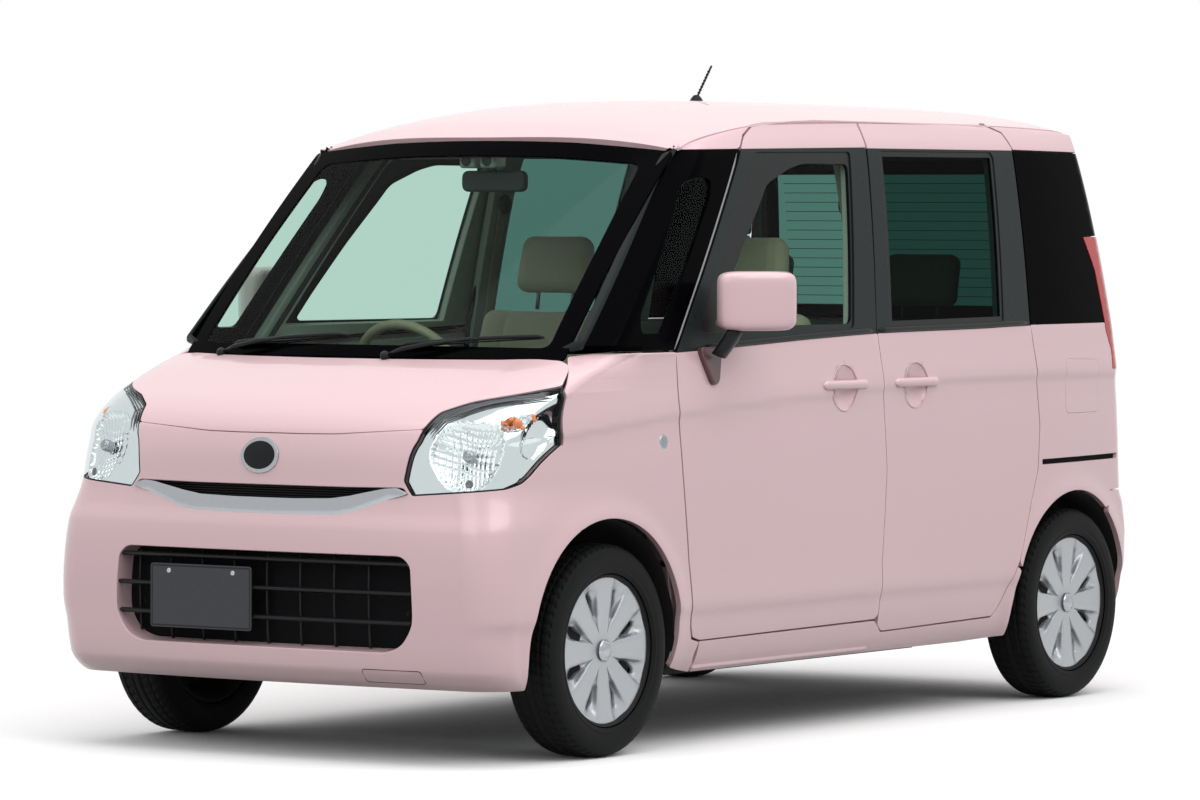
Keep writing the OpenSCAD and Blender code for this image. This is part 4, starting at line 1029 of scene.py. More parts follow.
lamp_r = rounded(lamp, 5, 3)
ribs = [on_nose(dense([(1600, 470 + 6 * k, 862 - 9 * k), (1556, 486 + 6 * k, 899 - 9 * k),
                       (1493, 562 + 5 * k, 930 - 9 * k), (1421, 640 + 3 * k, 948 - 9 * k),
                       (1360, 682 + k, 958 - 9 * k)], 30)) for k in range(4)]
for s, tag in ((1, "_left"), (-1, "_right")):
    m = s < 0
    panel("lamp_lens" + tag, nose, inset(lamp_r, 2.5), "lens", "body", ["headlamps"] if s > 0 else [],
          step=14, off=0.0, lip=10, mirror=m)
    panel("lamp_gasket" + tag, nose, inset(lamp_r, 1.5), "black", "body", step=9, off=-1.2, lip=10, mirror=m,
          holes=[inset(lamp_r, 5)], hole=(0.8, 2.0))
    panel("lamp_bowl" + tag, sunk(nose, lamp_depth), inset(lamp_r, 5), "bright", "body", step=4.2, lip=0,
          mirror=m)
    for k, r in enumerate(ribs):
        P = sunk(nose, 5)(r[:, 0], r[:, 1])
        sweep("lamp_rib_%d%s" % (k, tag), P * [1, s, 1], 4.4, 4, (0.8, 0.4 * s, 0.5), "steel", "body", 4)
    flip = np.array([1, s, 1])
    P, N = frame_at(nose, 600, 648, -38)
    knob("bulb_shield" + tag, P * flip, N * flip, [(0.1, 24), (9, 23), (14, 19), (16, 12), (16, -8)],
         "chrome", "body", 24)
    # Amber bulb and facets glow faintly: painted glow.
    P, N = frame_at(nose, 694, 744, -26)
    knob("amber_bulb" + tag, P * flip, N * flip, [(0.1, 20), (7, 18.5), (12, 13), (13, 6), (10, -2)], "amber",
         "body", 24)
    for k, (a, v) in enumerate(((668, 762), (655, 748), (722, 764), (735, 748), (716, 722))):
        P, N = frame_at(nose, a, v, -13)
        knob("amber_facet_%d%s" % (k, tag), P * flip, N * flip, [(0.1, 4), (5, 3), (7.5, 0)], "amber",
             "body", 8)
    P, N = frame_at(nose, 607, 572, -12)
    knob("aimer" + tag, P * flip, N * flip, [(0.1, 1), (6, 1), (7, 2.4), (10, 2.4), (11, 0)], "steel", "body",
         20)

# ---- Nose: bright bar under a dark mesh slot, three bars in the lower opening, blank oval
# badge, blank plate, tow cover and the round side markers.
top_bar = on_nose([(0, y, z) for y, z in [(443, 697), (410, 709), (372, 706), (272, 688), (208, 679),
                                          (100, 676), (2, 676)]], (1, 2))
low_bar = on_nose([(0, y, z) for y, z in [(2, 636), (227, 639), (278, 646), (388, 681)]], (1, 2))
bar_o = rounded(both_sides(np.concatenate([low_bar, top_bar])), 6)


def proud(a, v):
    """The bar bulges out of the nose across its height."""
    t = np.clip((v - np.interp(np.abs(a), *low_bar.T)) / 43, 0, 1)
    return -6 * np.sin(np.pi * t) ** 0.7 + 0 * a


panel("bright_bar", sunk(nose, proud), bar_o, "chrome", "body", ["smile_bar"], step=8, lip=12, edge=3)
# Dark backing sheets behind the slot and, below, the lower opening: dark parts there, and painted shade of
# the hollows.
panel("slot_back", nose, inset(slot_o, -4), "hollow", "body", off=-26, lip=0, step=20)
a = np.linspace(-470, 470, 70)
for k in range(5):
    z = 682 + 6 * k + 0 * a
    q = np.stack([a, v_of(z)], 1)
    q = q[inside(q, inset(slot_o, -6))]
    P = sunk(nose, 15)(q[:, 0], q[:, 1])
    sweep("slot_wire_%d" % k, P, 2.4, 2, (1, 0, 0.2), "trim", "body", 4)
panel("lower_back", nose, inset(grille_o, -6), "hollow", "body", off=-58, lip=0, step=24)
for k, z in enumerate((366, 442, 518)):
    a = np.linspace(-560, 560, 90)
    q = np.stack([a, v_of(z) + 0 * a], 1)
    q = q[inside(q, inset(grille_o, -5))]
    P = sunk(nose, 18)(q[:, 0], q[:, 1])
    sweep("grille_bar_%d" % k, P, 13, 13, (1, 0, 0.15), "black", "body", 8, False)
for k, y in enumerate(range(-430, 431, 108)):
    z = np.linspace(292, 536, 14)
    c = on_nose([(0, abs(y) + 0.01, w) for w in z], (1, 2)) * [np.sign(y) or 1, 1]
    c = c[inside(c, inset(grille_o, -4))]
    P = sunk(nose, 42)(c[:, 0], c[:, 1])
    sweep("grille_post_%d" % k, P, 7, 8, (1, 0, 0), "trim", "body", 4, False)
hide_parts("lower_grille")
flat = lambda u, v: stack(1697.0, u, v)
plate_o = rounded([(-352, 330.5), (-22, 330.5), (-22, 495.5), (-352, 495.5)], 9)
panel("number_plate_blank", flat, plate_o, "plate", "body", ["front_plate"], step=30, lip=3, edge=1)
panel("plate_border", flat, inset(plate_o, 3), "trim", "body", off=0.4, lip=1, edge=0.6,
      holes=[inset(plate_o, 6)], step=30)
for y in (-292, -82):
    knob("plate_screw_%d" % -y, (1697, y, 478), (1, 0, 0), [(0.1, 3.2), (4, 3.0), (6.5, 1.6), (7, 0)],
         "chrome", "body", 20)
t = np.linspace(0, 2 * np.pi, 65)[:-1]
oval = np.stack([-20 + 59 * np.cos(t), v_of(785) + 45 * np.sin(t)], 1)


def badge(rise):
    """Chart of the oval badge, crowned, standing out of the hood."""
    return sunk(nose, lambda a, v: rise + 3 * (((a + 20) / 59) ** 2 + ((v - v_of(785)) / 45) ** 2))


panel("badge_blank", badge(-7), oval, "chrome", "hood", step=7, lip=6, edge=2.5)
panel("badge_field", badge(-7.5), inset(oval, 9), "black", "hood", step=7, lip=1.2, edge=0.8)
tow = rounded([(a, v) for a, v in on_nose([(0, 318, 212), (0, 497, 212), (0, 497, 246), (0, 318, 246)],
                                          (1, 2))], 9)
loop = np.concatenate([tow, tow[:1]])
sweep("tow_cover_seam", sunk(nose, -0.1)(loop[:, 0], loop[:, 1]), 2.2, 0.5, (1, 0.2, 0), "trim", "body", 4,
      False)
for s, tag in ((1, "_left"), (-1, "_right")):
    y = side_y(np.array([905.0]), np.array([814.0]))[0]
    knob("side_marker" + tag, (905, s * (y - 1), 814), (0, s, 0),
         [(0.1, 7), (7, 6.4), (13, 4.4), (16, 1.8), (17, 1.6)], "lens", "body", 40)
    knob("side_marker_base" + tag, (905, s * (y - 1), 814), (0, s, 0),
         [(0.1, 2), (12, 2.2), (17, 2.2), (19.5, 2.0), (20.5, 0)], "chrome", "body", 40)

# ---- Door mirrors: painted housings on black stalks, glass facing back.
house = rounded([(714, 786), (706, 768), (690, 756), (560, 754), (536, 762), (529, 780), (529, 900),
                 (540, 914), (560, 920), (584, 916), (640, 884), (690, 836), (708, 808)], 22, 5)
for s, tag in ((1, "_left"), (-1, "_right")):
    body = "front_door" + tag
    rings, c = [], house.mean(0)
    for t in np.linspace(-np.pi / 2, np.pi / 2, 22):
        z = 1183 + 79 * np.sign(t) * np.abs(np.sin(t)) ** 0.62
        k = 1 - 0.55 * (1 - np.cos(t)) ** 2.2
        q = c + (house - c) * k
        q[:, 0] = np.where(house[:, 0] < 531, 529 + 46 * (1 - np.cos(t)) ** 3 * 0.2, q[:, 0])
        rings.append(stack(q[:, 0], s * q[:, 1], z))
    m = len(house)
    P = np.concatenate(rings)
    F = grid_faces(22, m) + caps(22, m)
    finish_mesh("mirror_housing" + tag, P, F if s > 0 else [f[::-1] for f in F], "paint", body,
                ["mirror" + tag])
    back = lambda u, v: stack(528.0, u, v)
    g = rounded([(768, 1118), (906, 1118), (906, 1248), (768, 1248)], 26, 6)
    panel("mirror_bezel" + tag, back, g, "black", body, sign=-1, lip=3, step=30, off=0, mirror=s < 0)
    panel("mirror_pane" + tag, back, inset(g, 6), "mirror", body, sign=-1, lip=1.5, step=30, off=1.2,
          mirror=s < 0)
    P = [(676, 752, 1040), (674, 770, 1062), (668, 786, 1086), (664, 800, 1112)]
    sweep("mirror_stalk" + tag, np.array(P) * [1, s, 1], 54, 20, (0.2, s, -0.5), "black", body, 12, False)
    # The foot below the belt is coloured dark maroon: painted reflection of the pink door and painted shadow
    # under the mirror.
    foot = rounded([(722, 1054), (640, 1054), (632, 1040), (650, 974), (660, 964), (674, 966), (708, 1026)],
                   12)
    panel("mirror_foot" + tag, flank, foot, "foot", body, step=12, off=14, lip=16, edge=6, mirror=s < 0)

# ---- Cabin: soft dash with a hooded binnacle, tan wheel and seats, trimmed doors and pillars,
# carpet and headlining.
def block(name, outline, lo, hi, plane, mat, body, r=6.0, nodes=(), n=4):
    """Outline in the xz, xy or yz plane run from lo to hi, its end edges rounded."""
    o = np.array(outline, float)
    if np.sum(o[:, 0] * np.roll(o[:, 1], -1) - np.roll(o[:, 0], -1) * o[:, 1]) < 0:
        o = o[::-1]
    e = unit(np.roll(o, -1, 0) - np.roll(o, 1, 0))
    N2 = np.stack([e[:, 1], -e[:, 0]], 1)
    rings, norms, m = [], [], len(o)
    for end, w in ((-1, lo), (1, hi)):
        for t in np.linspace(0, np.pi / 2, n + 1)[::-end]:
            q = inset(o, r * (1 - np.sin(t)))
            rings.append(np.column_stack([q, np.full(m, w - end * r * (1 - np.cos(t)))]))
            norms.append(np.column_stack([N2 * np.sin(t), np.full(m, end * np.cos(t))]))
    P, N = np.concatenate(rings), np.concatenate(norms)
    F = grid_faces(2 * n + 2, m) + caps(2 * n + 2, m)
    pick = {"xz": [0, 2, 1], "xy": [0, 1, 2], "yz": [2, 0, 1]}[plane]
    if plane == "xz":
        F = [f[::-1] for f in F]
    return finish_mesh(name, P[:, pick], F, mat, body, nodes, unit(N[:, pick]))


def tube(name, path, radius, mat, body, n=12, closed=False, nodes=()):
    """Round tube along the path, closed into a ring if asked."""
    p = np.array(path, float)
    t = unit(np.roll(p, -1, 0) - np.roll(p, 1, 0)) if closed else unit(np.gradient(p, axis=0))
    u = unit(np.cross(t[0], [0.3, 0.2, 1]))
    rings = []
    for q, d in zip(p, t):
        u = unit(u - d * np.dot(u, d))
        a = np.linspace(0, 2 * np.pi, n + 1)[:-1, None]
        rings.append(q + radius * (np.cos(a) * u + np.sin(a) * np.cross(d, u)))
    k = len(p)
    F = [[i % k * n + j, i % k * n + (j + 1) % n, (i + 1) % k * n + (j + 1) % n, (i + 1) % k * n + j]
         for i in range(k if closed else k - 1) for j in range(n)]
    if not closed:
        F += caps(k, n)
    return finish_mesh(name, np.concatenate(rings), F, mat, body, nodes)


def across(s, lo, hi):
    """The span from lo to hi on side s of the car."""
    return sorted((s * lo, s * hi))


def box_outline(u0, u1, v0, v1, r=10):
    """Rectangle with rounded corners."""
    return rounded([(u0, v0), (u1, v0), (u1, v1), (u0, v1)], r, 6)


def pad(name, half, r, crown, pull, grooves, shape, mat, body, nodes=(), n=36):
    """Cushion: a rounded box, crowned on its faces and drawn in between its corners, with
    sewn grooves; shape moves its points into place."""
    a = np.array(half, float)
    P, F, seen = [], [], {}
    g = np.linspace(-1, 1, n + 1)
    g = np.sign(g) * np.abs(g) ** 0.85
    for ax in range(3):
        for sg in (-1, 1):
            ids = np.zeros((n + 1, n + 1), int)
            for i in range(n + 1):
                for j in range(n + 1):
                    q = np.zeros(3)
                    q[ax], q[(ax + 1) % 3], q[(ax + 2) % 3] = sg, g[i], g[j]
                    key = tuple(np.round(q, 6))
                    if key not in seen:
                        seen[key] = len(P)
                        P.append(q)
                    ids[i, j] = seen[key]
            for i in range(n):
                for j in range(n):
                    f = [ids[i, j], ids[i + 1, j], ids[i + 1, j + 1], ids[i, j + 1]]
                    F.append(f if sg > 0 else f[::-1])
    q = np.array(P)
    p = q * a
    core = np.clip(p, -(a - r), a - r)
    p = core + unit(p - core) * r
    u = p / a
    dome = (1 - u[:, 0] ** 2) * (1 - u[:, 1] ** 2)
    on_face = np.clip(np.abs(u[:, 2]) * 1.5 - 0.5, 0, 1)
    p[:, 2] += np.sign(u[:, 2]) * crown * np.clip(dome, 0, 1) ** 0.8 * on_face
    p[:, 0] *= 1 - pull * (1 - u[:, 1] ** 2)
    p[:, 1] *= 1 - pull * (1 - u[:, 0] ** 2)
    for axis, at, wide, deep in grooves:
        k = np.exp(-((p[:, axis] - at) / wide) ** 2) * (u[:, 2] > 0.1)
        k = k * np.clip(1.02 - np.abs(u[:, 1 - axis]), 0, 0.12) / 0.12
        p[:, 2] -= deep * k
    o = finish_mesh(name, shape(p), F, mat, body, nodes)
    return o


dash_o = rounded([(1040, 985), (1128, 990), (1122, 912), (905, 895), (892, 800), (705, 645), (664, 760),
                  (668, 880), (700, 950), (780, 990)], 30, 7)
block("dash_body", dash_o, -588, 588, "xz", "dash", "body", 26, ["dashboard"])
block("dash_lower", rounded([(760, 800), (690, 668), (655, 750), (658, 832)], 18, 6), -560, 560, "xz", "tan",
      "body", 12)
block("binnacle", rounded([(900, 975), (840, 1040), (710, 1052), (694, 1030), (760, 985)], 16, 6), -470, -190,
      "xz", "dash", "body", 40)
block("dash_console", rounded([(800, 880), (800, 640), (690, 630), (648, 700), (652, 880)], 16, 5), -130, 130,
      "xz", "trim", "body", 14)
face = lambda u, v: stack(651.0, u, v)
panel("audio_screen", face, box_outline(-95, 95, 800, 868, 8), "frit", "body", sign=-1, lip=3, step=30,
      off=1.5)
for k, y in enumerate((-70, 0, 70)):
    knob("climate_dial_%d" % k, (650, y, 748), (-1, 0, 0.1), [(0.1, 17), (15, 16), (17, 14), (18, 5), (22, 3),
                                                              (23, 0)], "trim", "body", 32)
for k, y in enumerate((-520, -165, 165, 520)):
    knob("air_vent_%d" % k, (664, y, 905), (-1, 0, 0.2), [(0.1, 5), (8, 5), (10, 2), (34, 1), (38, 7),
                                                          (43, 8), (46, 5), (47, 0)], "black", "body", 40)
for k, z in enumerate((675, 760)):
    block("glovebox_lid_%d" % k, rounded([(0, 0), (10, 0), (10, 66), (0, 66)], 4, 3) + [650 - 2 * k, z], 190,
          530, "xz", "tan", "body", 3)
tube("shift_lever", [(672, -96, 745), (640, -98, 790), (622, -100, 835)], 6, "steel", "body")
knob("shift_knob", (620, -100, 830), (-0.4, 0, 1), [(0.1, 38), (12, 36), (19, 28), (21, 16), (15, 4), (9, 0)],
     "black", "body", 28)

c65, s65 = math.cos(math.radians(-65)), math.sin(math.radians(-65))
hub = np.array([560, -330, 945.0])


def on_wheel(p):
    """Points of the steering wheel, from its own plane to the car."""
    p = np.array(p, float)
    return np.stack([p[:, 0] * c65 + p[:, 2] * s65, p[:, 1], -p[:, 0] * s65 + p[:, 2] * c65], 1) + hub


n_hub = on_wheel([[0, 0, 1]])[0] - hub
t = np.linspace(0, 2 * np.pi, 97)[:-1]
tube("steering_rim", on_wheel(np.stack([178 * np.cos(t), 178 * np.sin(t), 0 * t], 1)), 14, "tan",
     "steering_wheel", 16, True, ["steering_wheel"])
for k, a in enumerate((90, 180, 270)):
    d = np.array([math.cos(math.radians(a)), math.sin(math.radians(a)), 0])
    r = np.linspace(40, 168, 10)
    sweep("steering_spoke_%d" % k, on_wheel(d * r[:, None] + [0, 0, -6]), 44, 12, n_hub, "dash",
          "steering_wheel", 8)
knob("steering_pad", hub, n_hub, [(0.1, 24), (24, 23), (44, 18), (56, 8), (60, -4), (58, -18), (0.1, -20)],
     "tan", "steering_wheel", 48)
knob("steering_shroud", hub - n_hub * 110, n_hub, [(0.1, 92), (30, 90), (42, 70), (46, 20), (44, 0),
                                                   (0.1, -2)], "dash", "body", 32)


def tipped(p, degrees):
    """Points of a pad stood up and leaned back about Y."""
    c, s = math.cos(math.radians(degrees)), math.sin(math.radians(degrees))
    return np.stack([p[:, 2] * s - p[:, 0] * c, p[:, 1], p[:, 0] * s + p[:, 2] * c], 1)


def seat(tag, yc, body, node):
    """A front seat: cushion, back and head restraint on a trimmed base."""
    def base(p):
        p = p.copy()
        p[:, 2] += 22 * np.clip(np.abs(p[:, 1]) / 240 - 0.55, 0, 1) + 12 * np.clip(p[:, 0] / 240, 0, 1)
        return p + [232, yc, 560]
    pad(tag + "_cushion", (250, 240, 52), 42, 10, 0.03, [(1, -150, 7, 9), (1, 150, 7, 9), (0, -40, 8, 6),
                                                         (0, 110, 8, 6)],
        base, "cloth", body, [node])

    def lean(p):
        p = p.copy()
        h = (p[:, 0] + 270) / 540
        p[:, 1] *= 1 - 0.16 * np.clip(h - 0.35, 0, 1) ** 1.3
        z = p[:, 2] + 26 * np.clip(np.abs(p[:, 1]) / 230 - 0.6, 0, 1) - 18 * np.clip(h - 0.75, 0, 1)
        return tipped(np.column_stack([p[:, :2], z]), 76) + [-47, yc, 872]
    pad(tag + "_back", (272, 236, 48), 40, 10, 0.02, [(1, -140, 7, 9), (1, 140, 7, 9), (0, 60, 8, 6),
                                                      (0, -90, 8, 6)],
        lean, "cloth", body)

    def head(p):
        p = p.copy()
        p[:, 1] *= 1 - 0.12 * ((p[:, 0] + 80) / 160) ** 2
        return tipped(p, 80) + [-137, yc, 1268]
    pad(tag + "_head_restraint", (82, 125, 38), 34, 6, 0.02, [(1, -96, 5, 4), (1, 96, 5, 4)], head, "cloth",
        body, n=24)
    for k in (-60, 60):
        tube("%s_post_%d" % (tag, k > 0), [(-125, yc + k, 1140), (-131, yc + k, 1180), (-137, yc + k, 1230)],
             6, "steel", body, 10)
    block(tag + "_base", rounded([(50, 250), (410, 250), (430, 400), (450, 505), (20, 505), (30, 400)], 20,
                                 5), yc - 200, yc + 200, "xz",
          "trim", body, 14)
    for k in (-216, 216):
        block("%s_side_%d" % (tag, k > 0), rounded([(-20, 470), (300, 470), (320, 500), (40, 545), (-60, 640),
                                                    (-80, 600)], 14, 5),
              yc + k - 14, yc + k + 14, "xz", "dash", body, 6)


seat("driver", -330, "body", "driver_seat")
seat("passenger", 330, "body", "passenger_seat")
for s, tag in SIDES:
    def bench(p, s=s):
        p = p.copy()
        p[:, 2] += 10 * np.clip(p[:, 0] / 240, 0, 1)
        return p + [-800, s * 255, 548]
    pad("rear_cushion_" + tag, (230, 252, 50), 40, 8, 0.02, [(1, -s * 120, 7, 6), (0, -20, 8, 6),
                                                             (0, 110, 8, 6)], bench, "cloth", "body",
        ["rear_seat"] if s > 0 else [])

    def lean2(p, s=s):
        p = p.copy()
        p[:, 2] -= 14 * np.clip(p[:, 0] / 250 - 0.6, 0, 1)
        return tipped(p, 76) + [-1060, s * 255, 840]
    pad("rear_back_" + tag, (256, 252, 44), 36, 8, 0.02, [(1, -s * 120, 7, 6), (0, 60, 8, 6), (0, -90, 8, 6)],
        lean2, "cloth", "body")

    def head2(p, s=s):
        return tipped(p, 80) + [-1133, s * 290, 1222]
    pad("rear_head_restraint_" + tag, (78, 122, 36), 32, 6, 0.02, [(1, -92, 5, 4), (1, 92, 5, 4)], head2,
        "cloth", "body", n=24)
    for k in (-60, 60):
        tube("rear_post_%s_%d" % (tag, k > 0), [(-1120, s * 290 + k, 1092), (-1126, s * 290 + k, 1130),
                                                (-1132, s * 290 + k, 1180)], 6, "steel", "body", 10)
block("rear_seat_frame", rounded([(-1010, 446), (-560, 446), (-560, 492), (-1000, 492)], 12, 5), -490, 490,
      "xz", "trim", "body", 10)

# inner trims of the doors, pillars and quarters
for s, tag in SIDES:
    m = s < 0
    for b, nm, o, o2 in (("front_door_" + tag, "front_trim_", fd, fwo), ("body", "rear_trim_", rd, rwo)):
        lo = inset(rounded(lower_door(o), 20, 5), 16)
        panel(nm + "lower_" + tag, flank, lo, "liner", b, step=26, sign=1, off=40, lip=30, edge=5, mirror=m)
        mid = cut(cut(o, (-190, 1092), (832, 1055)), (-400, 1640), (363, 1640), False) if b != "body" else \
            cut(cut(o, (-188, 1092), (-1033, 1104)), (-400, 1640), (-1084, 1640), False)
        panel(nm + "frame_" + tag, flank, rounded(inset(mid, 8), 10, 4), "liner", b, holes=[inset(o2, 6)],
              step=22, sign=1, off=34, lip=24, edge=4, mirror=m)
    for b, nm, x0, x1, z0 in (("front_door_" + tag, "front", 60, 520, 752),
                              ("body", "rear", -900, -420, 770)):
        block(nm + "_armrest_" + tag, box_outline(x0, x1, z0, z0 + 62, 24), *across(s, 612, 694), "xz", "tan",
              b, 18)
        block(nm + "_pocket_" + tag, rounded([(x0 + 20, 360), (x1 + 60, 360), (x1 + 80, 500), (x0 + 10, 480)],
                                             20, 5),
              *across(s, 640, 696), "xz", "liner", b, 12)
        knob(nm + "_speaker_" + tag, (x0 + 380 if nm == "front" else x0 + 100, s * 690, 600), (0, -s, 0),
             [(0.1, 6), (30, 7), (60, 6), (74, 5), (78, 9), (84, 8), (86, 0)], "dash", b, 48)
        knob(nm + "_pull_" + tag, (x0 + 330 if nm == "front" else x1 - 60, s * 690, 905), (0, -s, 0),
             [(0.1, 3), (20, 4), (26, 10), (33, 10), (36, 0)], "chrome", b, 32)
    o = rounded([(-330, 300), (-150, 300), (-180, 1092), (-196, 1630), (-292, 1630), (-268, 1092)], 14, 4)
    panel("centre_pillar_trim_" + tag, flank, o, "liner", "body", step=24, sign=1, off=66, lip=14, edge=6,
          mirror=m)
    o = rounded([(-1075, 655), (-1490, 655), (-1505, 1088), (-1062, 1088)], 14, 4)
    panel("quarter_trim_" + tag, flank, o, "liner", "body", step=24, sign=1, off=44, lip=14, edge=6, mirror=m)
    o = rounded([(-1052, 1096), (-1130, 1096), (-1140, 1560), (-1400, 1570), (-1410, 1630), (-1092, 1630)],
                14, 4)
    panel("rear_pillar_trim_" + tag, flank, o, "liner", "body", step=24, sign=1, off=40, lip=14, edge=6,
          mirror=m)
    # seat belt webbing down the centre pillar, with its guide
    z = np.linspace(560, 1440, 20)
    q = flank(-235 + 0 * z, z) - [0, 74, 0]
    sweep("belt_webbing_" + tag, q * [1, s, 1], 46, 1.5, (0, -s, 0), "tan", "body", 4, False)
    knob("belt_guide_" + tag, q[-1] * [1, s, 1], (0, -s, 0), [(0.1, 16), (16, 15), (26, 10), (28, 0)], "dash",
         "body", 28)
    # grab handle and sun visor
    p = flank(np.array([300.0, 290, 180, 70, 60]), np.array([1600.0, 1592, 1586, 1592, 1600])) - [0, 40, 0]
    p[1:4, 1] -= 26
    tube("grab_handle_" + tag, p * [1, s, 1], 9, "liner", "body", 12)
    o = np.array(box_outline(430, 575, 120, 455, 24)) * [1, s]
    panel("sun_visor_" + tag, roof, o, "liner", "body", step=30, sign=-1, off=52, lip=12, edge=5)
head_o = rounded([(-1480, -540), (-1480, 540), (560, 545), (620, 300), (632, 0), (620, -300), (560, -545)],
                 30, 5)
panel("headlining", roof, head_o, "liner", "body", step=50, sign=-1, off=34, lip=10, edge=8)
deck = lambda z: (lambda u, v: stack(u, v, z + 0 * u))
panel("front_carpet", deck(246.0), box_outline(-676, 790, -590, 590, 30), "carpet", "body", step=60, lip=6)
panel("luggage_floor", deck(444.0), rounded([(-1548, -480), (-1548, 480), (-700, 560), (-700, -560)], 20, 5),
      "carpet", "body", step=60, lip=6)
for s, tag in SIDES:
    block("kick_panel_" + tag, rounded([(690, 250), (836, 250), (836, 900), (700, 900)], 20, 5),
          *across(s, 560, 640), "xz", "liner", "body", 8)
panel("footwell_lining", lambda u, v: stack(1000 - 172 * np.clip((np.abs(u) - 385) / 38, 0, 1), u, v),
      box_outline(-600, 600, 246, 900, 20), "carpet", "body", step=24, sign=-1, lip=10)
for k, y, w, z in (("brake", -285, 70, 420), ("throttle", -355, 46, 400)):
    block(k + "_pedal", rounded([(838, z), (846, z - 4), (872, z + 66), (864, z + 70)], 3, 3), y - w / 2,
          y + w / 2, "xz", "trim", "body", 4)
    tube(k + "_lever", [(868, y, z + 40), (900, y, z + 150), (930, y, 760)], 8, "steel", "body")
block("tunnel_trim", rounded([(-676, 247), (770, 247), (770, 330), (640, 345), (560, 300), (-676, 298)], 14,
                             5), -112, 112, "xz", "carpet", "body", 12)
block("room_mirror_shell", box_outline(-105, 105, 1472, 1530, 22), 626, 652, "yz", "dash", "body", 8,
      ["room_mirror"])
panel("room_mirror_pane", lambda u, v: stack(625.0, u, v), box_outline(-98, 98, 1478, 1524, 18), "mirror",
      "body", sign=-1, lip=2, step=40)
tube("room_mirror_stem", [(640, 0, 1525), (655, 0, 1550), (668, 0, 1580)], 8, "dash", "body")
for s, tag in SIDES:
    block("sensor_box_" + tag, box_outline(s * 34 - 26, s * 34 + 26, 1536, 1580, 10), 668, 726, "yz", "liner",
          "body", 8)
    knob("sensor_eye_" + tag, (726, s * 34, 1556), (1, 0, 0), [(0.1, 1), (9, 1.5), (11, 4), (14, 4), (15, 0)],
         "dash", "body", 24)

# ---- Scuttle and aerial: black cowl grille below the glass, two wiper arms and blades on
# pivots, a whip aerial on the roof.
def cowl(p, t):
    """Chart of the scuttle below the windscreen: across and forward."""
    q = screen(p, 0 * p)
    return stack(q[..., 0] + 36 - t, p, 984 + t * 0.46)


panel("cowl_grille", cowl, rounded([(-604, 0), (604, 0), (604, 52), (-604, 52)], 8), "trim", "body",
      ["cowl_wipers"], step=24, off=6, lip=10)
for k, p in enumerate(np.linspace(-520, 520, 27)):
    t = np.linspace(8, 44, 5)
    sweep("cowl_slat_%d" % k, cowl(0 * t + p, t) + [5, 0, 7], 9, 3, (0.4, 0, 1), "black", "body", 4)
for k, (p0, p1, q0, q1) in enumerate(((150, 545, 22, 62), (-430, -40, 20, 56))):
    t = np.linspace(0, 1, 24)
    bow = 10 * (4 * t * (1 - t)) ** 0.5
    S = screen(p0 + (p1 - p0) * t, q0 + (q1 - q0) * t)
    up = np.array([0.7, 0, 0.7])
    sweep("wiper_blade_%d" % k, S + up * (9 + bow)[:, None] * 0.6 + up * 3, 11, 7, up, "black", "body", 6)
    sweep("wiper_lip_%d" % k, S + up * 2.2, 3, 5, up, "trim", "body", 3)
    a = screen(np.array([p0 - 30.0]), np.array([-16.0]))[0] + up * 12
    b = (S[12] + S[11]) / 2 + up * 17
    c = (a * 0.45 + b * 0.55) + up * 8
    sweep("wiper_arm_%d" % k, [a, a * 0.6 + c * 0.4 + up * 5, c, b], 15, 8, up, "black", "body", 6)
    knob("wiper_pivot_%d" % k, a - up * 6, up, [(0.1, 16), (9, 15), (13, 9), (14, 0)], "black", "body", 24)
knob("aerial_base", (-360, 0, 1734), (0, 0, 1), [(0.1, 22), (8, 21), (14, 14), (20, 5), (24, 0)], "black",
     "body", 32, ["antenna"])
tube("aerial_whip", [(-362 - 76 * t, 0, 1748 + 92 * t) for t in np.linspace(0, 1, 12)], 3.2, "black",
     "body", 8)
for k in range(9):
    knob("aerial_ring_%d" % k, (-366 - 7.2 * k, 0, 1753 + 8.8 * k), (-0.63, 0, 0.77),
         [(3.2, 1.6), (4.4, 1.0), (4.4, -1.0), (3.2, -1.6)], "black", "body", 12)

# ---- Back details: wiper, high stop lamp, garnish over the plate, reflectors, heater lines
# in the glass, and the filler cap behind its lid.
def on_back(w, z, off=0.0):
    """Points on the back of the car, off outwards."""
    h = 1.0
    w, z, off = np.broadcast_arrays(*(np.asarray(q, float) for q in (w, z, off)))
    N = unit(np.cross(rear(w, z + h) - rear(w, z - h), rear(w + h, z) - rear(w - h, z)))
    return rear(w, z) + N * off[..., None]


for k, z in enumerate(np.linspace(1140, 1540, 15)):
    w = np.linspace(-470, 470, 25)
    sweep("heater_line_%d" % k, on_back(w, z, -7), 1.8, 0.6, (-1, 0, 0), "under", "tailgate", 3, False)
w = np.linspace(-230, 230, 21)
sweep("hatch_garnish", on_back(w, 898, 3), 34, 13, (-1, 0, -0.2), "chrome", "tailgate", 10)
plate = lambda u, v: on_back(u, v, -10)
panel("rear_plate_blank", plate, box_outline(-165, 165, 716, 872, 9), "plate", "tailgate", off=1.5, lip=3,
      edge=1, step=30)
for y in (-105, 105):
    knob("rear_plate_screw_%d" % (y > 0), on_back(y, 856, -8)[()], (-1, 0, 0), [(0.1, 3.4), (5, 3), (7, 0)],
         "chrome", "tailgate", 20)
t = np.linspace(0, 1, 20)
sweep("rear_wiper_blade", on_back(-330 + 300 * t, 1128 + 10 * t, 12), 10, 6, (-1, 0, 0), "black",
      "tailgate", 6)
sweep("rear_wiper_arm", on_back(-180 + 184 * t, 1131 - 14 * t, 20 + 6 * np.sin(t * 3)), 14, 7, (-1, 0, 0),
      "black", "tailgate", 6)
